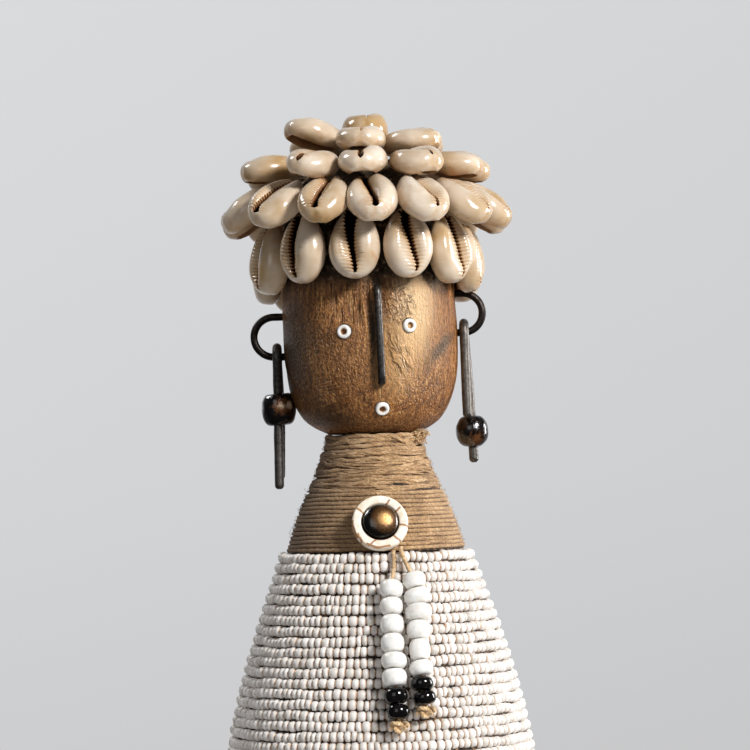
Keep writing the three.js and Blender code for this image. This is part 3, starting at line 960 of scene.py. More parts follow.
@dataclass(frozen=True)
class StainedCore(Finish):
    """Softwood rubbed with dark earth: matt brown-black, with tan patches of dust and painted bounce light,
    behind the beads.
    """

    name: str = "softwood_stained_dark"

    def paint(self, add: Adder, place: Socket) -> Inputs:
        """Lays tan patches of dust and painted bounce light on the dark wood."""
        dust = add("TexNoise", {"Vector": place, "Scale": per(1.4), "Detail": 4, "Roughness": 0.7})
        # Tan patches: dust and painted bounce light between the beads
        body = add(
            "ValToRGB", {"Fac": dust},
            [(0.38, "#0c0906"), (0.52, "#3a291b"), (0.62, "#86674a"), (0.74, "#b08c66")],
        )
        rough = add("Bump", {"Strength": 0.5, "Distance": 0.3 * MM, "Height": dust})
        return {"Base Color": body, "Roughness": 0.85, "Normal": rough}


WOOD = BurnishedWood()
SHELL = PolishedShell()
SEED_GLASS = SeedGlass()
WHITE_GLASS = PressedGlass()
BLACK_GLASS = PressedGlass(
    "black_glass_fire_polished", colour="#0b0a0a", shade="#141110", gloss=0.1, cloud=3.0
)
BRONZE_GLASS = LustreGlass()
BROWN_GLASS = LustreGlass(
    "brown_glass_bronze_lustre", bare="#080403", thin="#6b4220", thick="#e6d2b4", dent=0.7
)
LOOP_IRON = ForgedIron("iron_wire_blackened", dark="#1a1412", rubbed="#4d4540", worn=0.2)
NOSE_IRON = ForgedIron("iron_wire_rubbed", dark="#1c1a19", rubbed="#77736f", worn=0.3)
PIN_IRON = ForgedIron("iron_rod_rubbed", dark="#3a3531", rubbed="#827c76", worn=0.6)
TWINE = PlantTwine()
KNOT_TWINE = PlantTwine(
    "bast_fibre_knotted", length=4.0, pale="#ffe8c6", mid="#f0cd9b", dark="#c79a60", nap=0.8
)
BONE = TurnedBone()
CORE = StainedCore()


# The studio


@dataclass(frozen=True)
class Lamp:
    """A soft rectangular light that faces the doll.

    Attributes:
        name: its name.
        azimuth: degrees to the right of the camera, seen from the doll.
        elevation: degrees above what it lights.
        distance: metres from there.
        size: width and height, in metres.
        power: in watts.
    """

    name: str
    azimuth: float
    elevation: float
    distance: float
    size: Pair
    power: float

    def build(self, aim: Vector) -> None:
        """Hangs the light up, with its face to the aim."""
        lamp = bpy.data.lights.new(self.name, "AREA")
        lamp.shape = "RECTANGLE"
        lamp.size, lamp.size_y = self.size
        lamp.energy = self.power
        light = placed(self.name, lamp)
        lift = radians(self.elevation)
        away = Vector(around(radians(self.azimuth), cos(lift), sin(lift)))
        light.location = aim + away * self.distance
        light.rotation_mode = "QUATERNION"
        light.rotation_quaternion = away.to_track_quat("Z", "Y")


@dataclass
class Studio:
    """The camera, the lights, the pale floor and the pale surroundings.

    Attributes:
        distance: from the camera to the doll's axis, in metres.
        height: of the camera, in metres.
        aim: the point on the axis plane that the middle of the picture shows, in metres.
        view: width of what the picture shows there, in metres.
        roll: the camera's turn about its view.
        lamp_height: height of what the lamps face, in metres.
        lamps: the lights.
    """

    distance: float = 1.088
    height: float = 0.1693
    aim: Triple = (0.00096, 0.0, 0.2096)
    view: float = 0.24
    roll: float = 1.4
    lamp_height: float = 0.19
    lamps: tuple[Lamp, ...] = (
        Lamp("key", azimuth=39, elevation=28, distance=1.3, size=(0.24, 0.24), power=20.6),
        Lamp("window", azimuth=106, elevation=8, distance=1.0, size=(0.2, 0.5), power=7),
        Lamp("fill", azimuth=-20, elevation=18, distance=1.6, size=(0.8, 0.8), power=2.3),
        Lamp("left_rim", azimuth=-112, elevation=42, distance=1.1, size=(0.3, 0.3), power=4),
    )

    def add_camera(self) -> None:
        """Sets up the camera at the photograph's viewpoint."""
        lens = bpy.data.cameras.new("camera")
        lens.sensor_width = 36
        lens.lens = lens.sensor_width * self.distance / self.view
        lens.clip_start, lens.clip_end = 0.05, 50
        camera = placed("camera", lens)
        camera.location = (0, -self.distance, self.height)
        look = (Vector(self.aim) - camera.location).to_track_quat("-Z", "Y")
        camera.rotation_mode = "QUATERNION"
        camera.rotation_quaternion = look @ Quaternion((0, 0, 1), radians(-self.roll))
        bpy.context.scene.camera = camera
        log.info("studio: camera %.3f m away, %.1f mm lens", self.distance, lens.lens)

    def add_surroundings(self) -> None:
        """Adds the pale backdrop, which lights the doll from behind, and the dim rest of the room."""
        world = bpy.data.worlds.new("pale_studio")
        bpy.context.scene.world = world
        world.use_nodes = True
        tree = world.node_tree
        add = partial(add_node, tree)
        way = add("SeparateXYZ", {0: add("TexCoord").outputs["Generated"]}).outputs
        rise = add("MapRange", {"Value": way["Z"], "From Min": -0.1, "From Max": 0.17, "To Max": 1.0})
        backdrop = add("ValToRGB", {"Fac": rise}, [(0.0, "#c9c9ca"), (0.4, "#d2d3d5"), (1.0, "#d9dadb")])
        side = add(
            "MapRange",
            {"Value": way["X"], "From Min": -0.12, "From Max": 0.12, "To Min": 1.02, "To Max": 0.96},
        )
        shaded = add("VectorMath", {0: backdrop, "Scale": side}, operation="SCALE")
        depth = add("MapRange", {"Value": way["Y"], "From Min": 0.3, "From Max": 0.95}, **EASED)
        room = add("Mix", {SHARE: depth, UNDER: linear("#303134"), OVER: shaded}, **BLENDED)
        direct = add("LightPath").outputs["Is Camera Ray"]
        seen = add("Mix", {SHARE: direct, UNDER: room, OVER: shaded}, **BLENDED)
        feed(tree.nodes["Background"], {"Color": seen})

    def add_floor(self) -> None:
        """Adds the floor, which fades away from the doll and stays out of the gloss of the glass."""
        form = bmesh.new()
        bmesh.ops.create_circle(form, cap_ends=True, segments=64, radius=1.1)
        mesh = bpy.data.meshes.new("floor")
        form.to_mesh(mesh)
        form.free()
        floor = placed("floor", mesh)
        floor.visible_glossy = False
        paint = bpy.data.materials.new("floor_matt_paint")
        paint.use_nodes = True
        tree = paint.node_tree
        add = partial(add_node, tree)
        far = add("VectorMath", {0: add("TexCoord").outputs["Object"]}, operation="LENGTH")
        fade = add("MapRange", {"Value": far, "From Min": 1.05, "From Max": 0.35}, **EASED)
        feed(
            tree.nodes["Principled BSDF"],
            {"Base Color": linear("#c4c5c7"), "Roughness": 0.9, "Specular IOR Level": 0.1, "Alpha": fade},
        )
        mesh.materials.append(paint)

    def build(self) -> None:
        """Sets up the whole studio."""
        self.add_camera()
        self.add_surroundings()
        self.add_floor()
        for lamp in self.lamps:
            lamp.build(Vector((0, 0, self.lamp_height)))
        bpy.context.scene.view_settings.view_transform = "Standard"


# The doll


@dataclass
class BeadedBody:
    """The bell-shaped body, wound with rows of seed beads.

    Attributes:
        outline: radius over the beads against height.
        rows: how many rows there are.
        pitch: height of one row.
        top: height of the topmost row's upper edge.
        bead_radius: half a bead's thickness.
        widths: narrowest, usual and widest bead along the string.
        jitter: how far a bead strays in and out, or up and down.
        tip: how far a bead usually leans.
        odd_share: share of the beads that stand askew.
        odd_tip: how far those lean.
        core_inset: how far the core stays under the beads.
        foot_inset: how far its foot does.
        bands: how many pieces the rows are split into, for size.
    """

    outline: Outline = Outline(
        ((52.3, 0), (53, 43), (51.6, 70), (48.8, 92), (45.2, 109), (41.2, 123.2), (36, 138.5), (31, 153.2))
    )
    rows: int = 47
    pitch: float = 3.2
    top: float = 153.2
    bead_radius: float = 1.74
    widths: Triple = (1.5, 2.25, 3.2)
    jitter: float = 0.09
    tip: float = 3.5
    odd_share: float = 0.02
    odd_tip: int = 18
    core_inset: float = 1.75
    foot_inset: float = 2.4
    bands: int = 4

    def radius(self, height: float) -> float:
        """The radius over the beads at a height, held above the topmost row."""
        return self.outline.radius(min(height, self.top))

    def unit_bead(self) -> Mesh:
        """One bead of thickness 2 and length 1 along Z."""
        return as_mesh(turned([(0.6, -0.5), (1.0, -0.26), (1.0, 0.26), (0.6, 0.5)], 8))

    def places(self, row: int, draw: Random) -> tuple[list[Matrix], list[float]]:
        """Where the beads of a row go, and the tone of each.

        Args:
            row: the row's number, from the top.
            draw: the source of chance.

        Returns:
            One matrix and one tone for each bead.
        """
        height = self.top - self.pitch * (row + 0.5)
        reach = self.radius(height) - self.bead_radius
        low, usual, high = self.widths
        widths = []
        while sum(widths) < tau * reach - usual / 2:
            widths.append(min(high, max(low, draw.gauss(usual, 0.42))))
        fit = tau * reach / sum(widths)
        # A hand-wound row runs in slow and quick waves, a few tenths of a millimetre high
        waves = [(draw.uniform(0.04, 0.19), count, draw.uniform(0, tau)) for count in (2, 5, 11, 19)]
        angle = draw.uniform(0, tau)
        matrices, tones = [], []
        for width in widths:
            half = width * fit / reach / 2
            angle += half
            wave = sum(size * sin(count * angle + start) for size, count, start in waves)
            thick = self.bead_radius * min(1.02, draw.gauss(0.97, 0.045))
            out = reach + draw.gauss(0, self.jitter)
            rise = height + wave + draw.gauss(0, self.jitter)
            place = Matrix.Rotation(angle, 4, "Z") @ Matrix.Translation(Vector((0, -out, rise)) * MM)
            usual_tip = draw.random() > self.odd_share
            tip = draw.gauss(0, self.tip) if usual_tip else draw.choice((-self.odd_tip, self.odd_tip))
            laid = Matrix.Rotation(radians(90 + tip), 4, "Y")
            laid @= Matrix.Rotation(draw.uniform(0, 0.8), 4, "Z")
            size = Matrix.Diagonal((thick * MM, thick * MM, width * fit * 0.985 * MM, 1))
            matrices.append(place @ laid @ size)
            tones.append(min(1.0, max(0.0, draw.gauss(0.6, 0.22))))
            angle += half
        return matrices, tones

    def build(self) -> None:
        """Builds the rows in a few bands, and the dark core and foot behind them."""
        draw = Random(11)
        bead = self.unit_bead()
        ends = np.array([abs(corner.co.z) > 0.4 for corner in bead.vertices], np.float32)
        edges = np.linspace(0, self.rows, self.bands + 1).round().astype(int)
        for band, (first, last) in enumerate(zip(edges, edges[1:]), start=1):
            form = bmesh.new()
            tones: list[float] = []
            for row in range(first, last):
                matrices, row_tones = self.places(row, draw)
                for matrix in matrices:
                    stamp(form, bead, matrix)
                tones += row_tones
            mesh = as_mesh(form)
            tag(mesh, "tone", np.repeat(tones, len(ends)))
            # The bead ends, where neighbours meet, get a tan of dust and painted shade
            tag(mesh, "dust", np.tile(ends, len(tones)))
            add_piece(f"bead_rows_{band}", mesh, SEED_GLASS, Slot.SEED, ["bead_body"], sharp=80)
        self.build_core()

    def build_core(self) -> None:
        """Builds the dark turned body that shows between the beads, with its plain foot."""
        foot = self.outline.radius(0) - self.foot_inset
        rises = np.linspace(self.pitch, self.top - 0.4, 60)
        side = [(self.outline.radius(height) - self.core_inset, height) for height in rises]
        profile = [
            (0, 0), (foot - 1, 0), (foot, 0.8), (foot + 0.3, 2.6), *side,
            (side[-1][0] - 2, self.top), (0, self.top),
        ]
        form = turned([(radius * MM, height * MM) for radius, height in profile], 96)
        add_piece("body_core", as_mesh(form), CORE, Slot.SEED, ["bead_body"], sharp=40)


@dataclass(frozen=True)
class Winding:
    """One run of twine wound upwards.

    Attributes:
        start: height of its first turn.
        pitch: its rise in one turn.
        turns: how many turns it has.
        depth: how far its middle lies under the outline.
        radius: half its thickness.
        swell: how far its thickness strays, as a share.
        pace: how fast that strays from one point to the next.
        seed: two numbers that set its straying apart.
        wander: how far a turn strays up or down.
        steps: how many points one turn has.
        strand: its section.
    """

    start: float
    pitch: float
    turns: int
    depth: float
    radius: float
    swell: float
    pace: float
    seed: Pair
    wander: float
    steps: int
    strand: Strand


@dataclass
class ShoulderWrap:
    """The twine wound round the shoulders and the neck.

    Attributes:
        outline: radius over the twine against height.
        windings: the close run below, the loose, thick run above, and a thinner one wound over that.
        crossings: height, slope and half thickness of each turn that runs aslant over the others.
        seam: angle from the front where every winding starts, in radians.
        wisps: how many loose strands lie over the neck.
        fibres: how many fibres stand off the twine.
        frays: how many fibres its frayed end has.
        fray_at: the middle of the frayed end, under the chin at the right.
        core_inset: how far the dark cone stays under the twine.
    """

    outline: Outline = Outline(
        ((28.7, 153.5), (26.3, 161.2), (23.1, 169.6), (19.4, 177), (16, 186.2), (15.3, 190.4))
    )
    windings: tuple[Winding, ...] = (
        Winding(
            start=153.6, pitch=1.32, turns=14, depth=0.66, radius=0.77, swell=0.14, pace=0.09, seed=(0, 3),
            wander=0.26, steps=170, strand=Strand(9, lobe=0.26, twist=3 * MM),
        ),
        Winding(
            start=172.4, pitch=1.5, turns=12, depth=0.66, radius=0.86, swell=0.35, pace=0.05, seed=(9, 0),
            wander=1.1, steps=110, strand=Strand(9, lobe=0.2, twist=7 * MM, squash=0.8),
        ),
        Winding(
            start=173.9, pitch=3.1, turns=5, depth=0.16, radius=0.62, swell=0.35, pace=0.05, seed=(9, 1.5),
            wander=2.6, steps=110, strand=Strand(9, lobe=0.2, twist=7 * MM, squash=0.8),
        ),
    )
    crossings: tuple[Triple, ...] = (
        (174.6, 0.14, 0.62), (178.9, -0.2, 0.72), (183.2, 0.17, 0.66), (186.8, -0.12, 0.75),
    )
    seam: float = 2.6
    wisps: int = 60
    fibres: int = 1000
    frays: int = 150
    fray_at: Triple = (14.2, -7.4, 189.4)
    core_inset: float = 0.75

    def winding(self, run: Winding) -> Form:
        """One run of windings."""
        points = []
        for step in range(run.turns * run.steps + 1):
            angle, turn = tau * step / run.steps, step / run.steps
            sine, cosine = sin(angle), cos(angle)
            height = run.start + run.pitch * turn
            height += run.wander * chance(2.2 * sine, 2.2 * cosine, turn * 0.9 + run.start)
            lift = run.wander * 0.45 * chance(3 * cosine, 3 * sine, turn * 1.7 - run.start)
            points.append(around(angle + self.seam, self.outline.radius(height) - run.depth + lift, height))
        thick = uneven(len(points), run.radius, run.radius * run.swell, run.pace, run.seed)
        return run.strand.sweep(np.array(points) * MM, thick, UP)

    def crossing(self, height: float, slope: float, thick: float) -> Form:
        """A turn of twine that runs aslant over the others."""
        points = []
        for angle in np.linspace(0, tau, 101):
            level = height + slope * 16 * sin(angle + height) + 0.5 * chance(angle * 1.3, height, 0)
            points.append(around(angle, self.outline.radius(level) - thick * 0.45, level))
        strand = Strand(8, lobe=0.22, twist=7 * MM, squash=0.75)
        return strand.sweep(np.array(points) * MM, thick * MM, UP)

    def wisp(self, draw: Random) -> Form:
        """A thin loose strand that lies aslant over part of the neck."""
        height, start = draw.uniform(172.5, 189), draw.uniform(0, tau)
        span, slope, thick = draw.uniform(0.6, 2.6), draw.gauss(0, 0.9), draw.uniform(0.2, 0.42)
        points = []
        for share in np.linspace(0, 1, 30):
            angle = start + span * share
            level = min(189.8, height + slope * span * share + 0.5 * chance(angle * 2, height, 5))
            reach = self.outline.radius(level) + thick * 0.3 + 0.25 * chance(angle * 3, 7, height)
            points.append(around(angle, reach, level))
        taper = np.clip(np.minimum(np.linspace(0, 6, 30), np.linspace(6, 0, 30)), 0.25, 1)
        return Strand(6, lobe=0.25, twist=3 * MM).sweep(np.array(points) * MM, thick * taper * MM, UP)

    def fibre(self, draw: Random) -> Form:
        """A loose fibre that stands off the windings."""
        height, angle = draw.uniform(155, 189.5), draw.uniform(0, tau)
        out = np.array(around(angle, 1.0, 0.0))
        along = np.array((cos(angle), sin(angle), 0)) * draw.choice((-1, 1))
        start = out * (self.outline.radius(height) - 0.5) + UP * height
        length, bow, drift = draw.uniform(1.2, 3.4), draw.uniform(0.25, 0.9), draw.uniform(-0.5, 0.5)
        steps = np.linspace(0, 1, 5)[:, None]
        line = start + steps * length * (along + UP * drift) + out * (0.45 + bow * np.sin(steps * 2.6))
        return Strand(3).sweep(line * MM, 0.05 * MM, out)

    def fray(self, draw: Random) -> Form:
        """A fibre of the twine's frayed end."""
        start = np.array(self.fray_at) + np.array([draw.gauss(0, 0.7) for _ in range(3)])
        way = np.array((draw.gauss(0.8, 0.25), draw.gauss(-0.35, 0.3), draw.gauss(0.35, 0.3)))
        steps = np.linspace(0, 1, 5)[:, None]
        curl = np.array([draw.gauss(0, 0.6) for _ in range(3)])
        line = start + steps * way * draw.uniform(0.8, 2.3) + curl * np.sin(steps * 2.4)
        return Strand(4).sweep(line * MM, draw.uniform(0.14, 0.26) * MM, (0.3, 0.2, 1.0))

    def build(self) -> None:
        """Builds the windings and what is laid across them, the fuzz, the frayed end and the dark cone."""
        draw = Random(23)
        forms = [self.winding(run) for run in self.windings]
        forms += [self.crossing(*turn) for turn in self.crossings]
        forms += [self.wisp(draw) for _ in range(self.wisps)]
        twine = as_mesh(gather(forms))
        add_piece("twine_windings", twine, TWINE, Slot.TWINE, ["shoulder_wrap"], sharp=80)
        fuzz = as_mesh(gather(self.fibre(draw) for _ in range(self.fibres)))
        add_piece("twine_fuzz", fuzz, TWINE, Slot.TWINE, [], sharp=80)
        tuft = as_mesh(gather(self.fray(draw) for _ in range(self.frays)))
        add_piece("twine_tuft", tuft, KNOT_TWINE, Slot.TWINE, [], sharp=80)
        foot, top = self.outline.points[0][1], self.outline.points[-1][1]
        side = [(self.outline.radius(z) - self.core_inset, z) for z in np.linspace(foot, top, 24)]
        profile = [(0, foot), *side, (0, top)]
        core = as_mesh(turned([(radius * MM, height * MM) for radius, height in profile], 72))
        add_piece("neck_core", core, CORE, Slot.TWINE, ["shoulder_wrap"], sharp=40)


@dataclass
class Pendant:
    """The bone ring on the front of the wrap, and the domed bead in it.

    Attributes:
        wrap: the twine that it lies on.
        across: how far it hangs to the right.
        height: height of its middle.
        set_off: distance from the twine to its back.
        tilt: how far it leans back.
        turn: how far it faces right.
        outer: the ring's outer radius.
        inner: its inner radius.
        thickness: its thickness.
        boss_radius: radius of the dome.
        waist: height above the ring's back where the dome starts to curve.
        crest: height of its top above the ring's back.
        cracks: where the cracks run on the front, as angle and radius of both ends.
    """

    wrap: ShoulderWrap
    across: float = 1.1
    height: float = 161.1
    set_off: float = 2.1
    tilt: float = 18
    turn: float = 4
    outer: float = 8.8
    inner: float = 5.82
    thickness: float = 3.6
    boss_radius: float = 5.74
    waist: float = 3.0
    crest: float = 6.5
    cracks: tuple[tuple[float, float, float, float], ...] = (
        (151, 5.8, 146, 9.0), (70, 5.8, 66, 7.6), (33, 5.8, 36, 7.8), (-9, 5.8, -11, 9.0),
        (-50, 5.8, -47, 9.0), (-106, 5.8, -118, 8.4), (-122, 8.3, -72, 8.2), (-152, 8.1, -135, 8.5),
        (176, 8.6, -148, 8.6),
    )

    def frame(self) -> Matrix:
        """Where the pendant sits: local Z points out of it, 0 is its back."""
        lift, side = radians(self.tilt), radians(self.turn)
        out = Vector((sin(side), -cos(side) * cos(lift), sin(lift))).normalized()
        reach = self.wrap.outline.radius(self.height)
        back = Vector((self.across, -sqrt(reach**2 - self.across**2), self.height))
        return facing(back + out * self.set_off, out)

    def build(self) -> None:
        """Builds the ring and the dome."""
        for name, mesh, finish, slot, node, sharp in (
            ("bone_ring", self.ring(), BONE, Slot.BONE, "pendant_ring", 60),
            ("bronze_dome", self.dome(), BRONZE_GLASS, Slot.BRONZE, "pendant_boss", 40),
        ):
            mesh.transform(self.frame())
            add_piece(name, mesh, finish, slot, [node], sharp)

    def dome(self) -> Mesh:
        """The domed bead about its own axis, with its lustre, in part a painted highlight, and its edge
        marked.
        """
        full, steps = 0.86, 17
        profile = [(0, -1.6), (self.boss_radius * 0.8, -1.6), (self.boss_radius, 0.4)]
        for step in range(steps):
            angle = pi / 2 * step / steps
            rise = (self.crest - self.waist) * sin(angle) ** full
            profile.append((self.boss_radius * cos(angle) ** full, self.waist + rise))
        mesh = as_mesh(turned([*profile, (0, self.crest)], 64))
        places = np.array([corner.co for corner in mesh.vertices])
        far = np.hypot(places[:, 0], places[:, 1]) / self.boss_radius
        # The lustre's crown sits right of the middle, where the key light's reflection falls: in part a
        # painted highlight
        glow = np.hypot(places[:, 0] - 1.3, places[:, 1] - 0.2) / self.boss_radius
        tag(mesh, "lustre", np.clip(1.1 - glow * 1.25, 0, 1))
        tag(mesh, "edge", np.clip((far - 0.93) / 0.04, 0, 1))
        return mesh

    def ring(self) -> Mesh:
        """The ring about its own axis, with its cracks, its brown inner edge and the painted shade of its
        inner wall marked.
        """
        width = self.outer - self.inner
        face = [
            (self.inner + width * share, self.thickness - 0.35 * (2 * share - 1) ** 4)
            for share in np.linspace(0.9, 0.03, 19)
        ]
        profile = [
            (self.inner, 0.3), (self.inner + 0.3, 0), (self.outer - 0.9, 0), (self.outer - 0.25, 0.4),
            (self.outer, 1.1), (self.outer, 2.3), (self.outer - 0.12, 2.9), *face,
            (self.inner, self.thickness - 0.7), (self.inner, 0.3),
        ]
        mesh = as_mesh(turned(profile, 320))
        places = np.array([corner.co for corner in mesh.vertices])
        flat, height = places[:, :2], places[:, 2]
        reach = np.hypot(places[:, 0], places[:, 1])
        crack = np.zeros(len(places))
        for one in self.cracks:
            line = self.crack(*one)
            for start, end in zip(line, line[1:]):
                way = end - start
                along = np.clip(((flat - start) @ way) / (way @ way), 0, 1)[:, None]
                gap = np.linalg.norm(flat - start - along * way, axis=1)
                crack = np.maximum(crack, np.exp(-((gap / 0.36) ** 2)) * (height > 1.0))
        # One more crack runs round most of the rim
        side = np.exp(-(((height - 2.0) / 0.12) ** 2)) * (reach > self.outer - 0.2)
        tag(mesh, "crack", np.maximum(crack, 0.8 * side * (places[:, 0] < 3)))
        # The inner wall is marked 2 for painted shade
        wall = (reach < self.inner + 0.05) & (height < self.thickness - 0.3)
        tag(mesh, "tide", np.where(wall, 2.0, np.clip(1 - (reach - self.inner) / 0.7, 0, 1)))
        return mesh

    def crack(self, angle: float, reach: float, end_angle: float, end_reach: float) -> np.ndarray:
        """The wavy line of a crack, between two places given by angle and radius."""
        share = np.linspace(0, 1, 14)
        sweep = (end_angle - angle + 180) % 360 - 180
        wiggle = 0.09 * np.sin(share * 9 + angle)
        bow = np.radians(angle + sweep * share) + wiggle * 0.08
        radii = reach + (end_reach - reach) * share + wiggle
        return np.stack([radii * np.cos(bow), radii * np.sin(bow)], axis=1)


@dataclass
class Tassel:
    """A twine cord with a knot, strung with white and black crow beads.

    Attributes:
        side: which of the two it is.
        body: the beads that it hangs before.
        route: the cord's centre line, as sideways, stand-off from the body's beads, and height.
        white: heights where one white bead ends and the next begins.
        black: the same of the black beads.
        beads: radius and tip, of each bead from the top.
        radius: half the cord's thickness.
        knot_size: half the knot's width, its depth and its height.
        frays: how many fibres the knot's end has.
    """

    side: Side
    body: BeadedBody
    route: tuple[Triple, ...]
    white: tuple[float, ...]
    black: tuple[float, ...]
    beads: tuple[Pair, ...]
    radius: float = 0.75
    knot_size: Triple = (2.7, 1.5, 1.5)
    frays: int = 14

    def line(self) -> np.ndarray:
        """The points of the route, in metres."""
        points = []
        for across, stand_off, height in self.route:
            reach = self.body.radius(height) + stand_off
            points.append((across, -sqrt(reach**2 - across**2), height))
        return np.array(points) * MM

    def at(self, height: float) -> tuple[Vector, Vector]:
        """The cord's place and its upward direction at a height in millimetres."""
        curve = smooth_path(self.line(), 6)[::-1]
        below, here, above = (
            np.array([np.interp(level * MM, curve[:, 2], curve[:, axis]) for axis in range(3)])
            for level in (height - 1, height, height + 1)
        )
        return Vector(here), Vector(above - below).normalized()

    def bead(self, bottom: float, top: float, radius: float, tip: float) -> Form:
        """One crow bead on the cord.

        Args:
            bottom: height of its lower end.
            top: height of its upper end.
            radius: half its thickness.
            tip: how far it leans off the cord, in degrees.

        Returns:
            The bead, its dust and painted shade marked round the hole.
        """
        middle, up = self.at((bottom + top) / 2)
        profile = bulging(radius, (top - bottom) / 2 - 0.02, 0.5 * radius, 0.95, 2.15)
        form = turned([(reach * MM, height * MM) for reach, height in profile], 28)
        turn = up.to_track_quat("Z", "Y") @ Quaternion((0, 1, 0), radians(tip))
        place = Matrix.Translation(middle) @ turn.to_matrix().to_4x4()
        dust = form.verts.layers.float.new("dust")
        for corner in form.verts:
            corner[dust] = 0.75 * max(0.0, 1 - max(0.0, corner.co.length / MM - 1.1) / 1.5)
        bmesh.ops.transform(form, matrix=place, verts=form.verts)
        return form

    def run(
        self, colour: str, joints: Sequence[float], sizes: Sequence[Point], finish: Finish, slot: Slot
    ) -> bpy.types.Object:
        """Builds one run of beads, from the top down.

        Args:
            colour: the beads' colour, which is in their names.
            joints: heights where one bead ends and the next begins.
            sizes: radius and tip of each bead.
            finish: what they are made of.
            slot: the record's slot for that.

        Returns:
            The run as one piece.
        """
        whole = bmesh.new()
        whole.verts.layers.float.new("dust")
        for high, low, size in zip(joints, joints[1:], sizes):
            whole.from_mesh(as_mesh(self.bead(low, high, *size)))
        name = f"{self.side.value}_{colour}_crow_beads"
        node = f"{self.side.value}_{colour}_beads"
        return add_piece(name, as_mesh(whole), finish, slot, [node])

    def knot(self, draw: Random) -> Form:
        """The overhand knot under the last bead, with its frayed end."""
        middle = self.line()[-1] / MM - UP * 0.6
        wide, deep, tall = self.knot_size
        # A trefoil seen from the front
        turn = np.linspace(0, tau, 48, endpoint=False) + 0.6
        across = wide / 3 * (np.sin(turn) + 2 * np.sin(2 * turn))
        depth = -deep * np.sin(3 * turn)
        height = tall / 3 * (np.cos(turn) - 2 * np.cos(2 * turn))
        loops = middle + np.stack([across, depth, height], axis=1)
        forms = [Strand(8, lobe=0.25, twist=3.4 * MM).sweep(loops * MM, 0.78 * MM, (0.1, 1.0, 0.2))]
        share = np.linspace(0, 1, 4)[:, None]
        for _ in range(self.frays):
            side = draw.choice((-1, 1))
            start = middle + np.array((side * wide * 0.7, draw.gauss(-0.4, 0.3), draw.gauss(-0.3, 0.4)))
            way = np.array((side * draw.uniform(0.2, 1.1), draw.gauss(-0.2, 0.3), draw.uniform(-1.3, 0.1)))
            bow = share**2 * UP * draw.gauss(-0.3, 0.4)
            line = start + way * 1.3 * share + bow
            forms.append(Strand(3).sweep(line * MM, 0.09 * MM, (0.2, 1.0, 0.3)))
        return gather(forms)

    def build(self) -> None:
        name = self.side.value
        count = len(self.white) - 1
        white = self.run("white", self.white, self.beads[:count], WHITE_GLASS, Slot.WHITE)
        black = self.run("black", self.black, self.beads[count:], BLACK_GLASS, Slot.BLACK)
        path = resampled(smooth_path(self.line(), 8), 1.6 * MM)
        twine = Strand(8, lobe=0.3, twist=3.2 * MM)
        form = as_mesh(twine.sweep(resampled(path, 0.45 * MM), self.radius * MM, (1.0, 0.0, 0.0)))
        cord = add_piece(f"{name}_cord", form, KNOT_TWINE, Slot.TWINE, [f"{name}_tassel_cord"], sharp=80)
        form = as_mesh(self.knot(Random(31)))
        knot = add_piece(f"{name}_knot", form, KNOT_TWINE, Slot.TWINE, [], sharp=80)


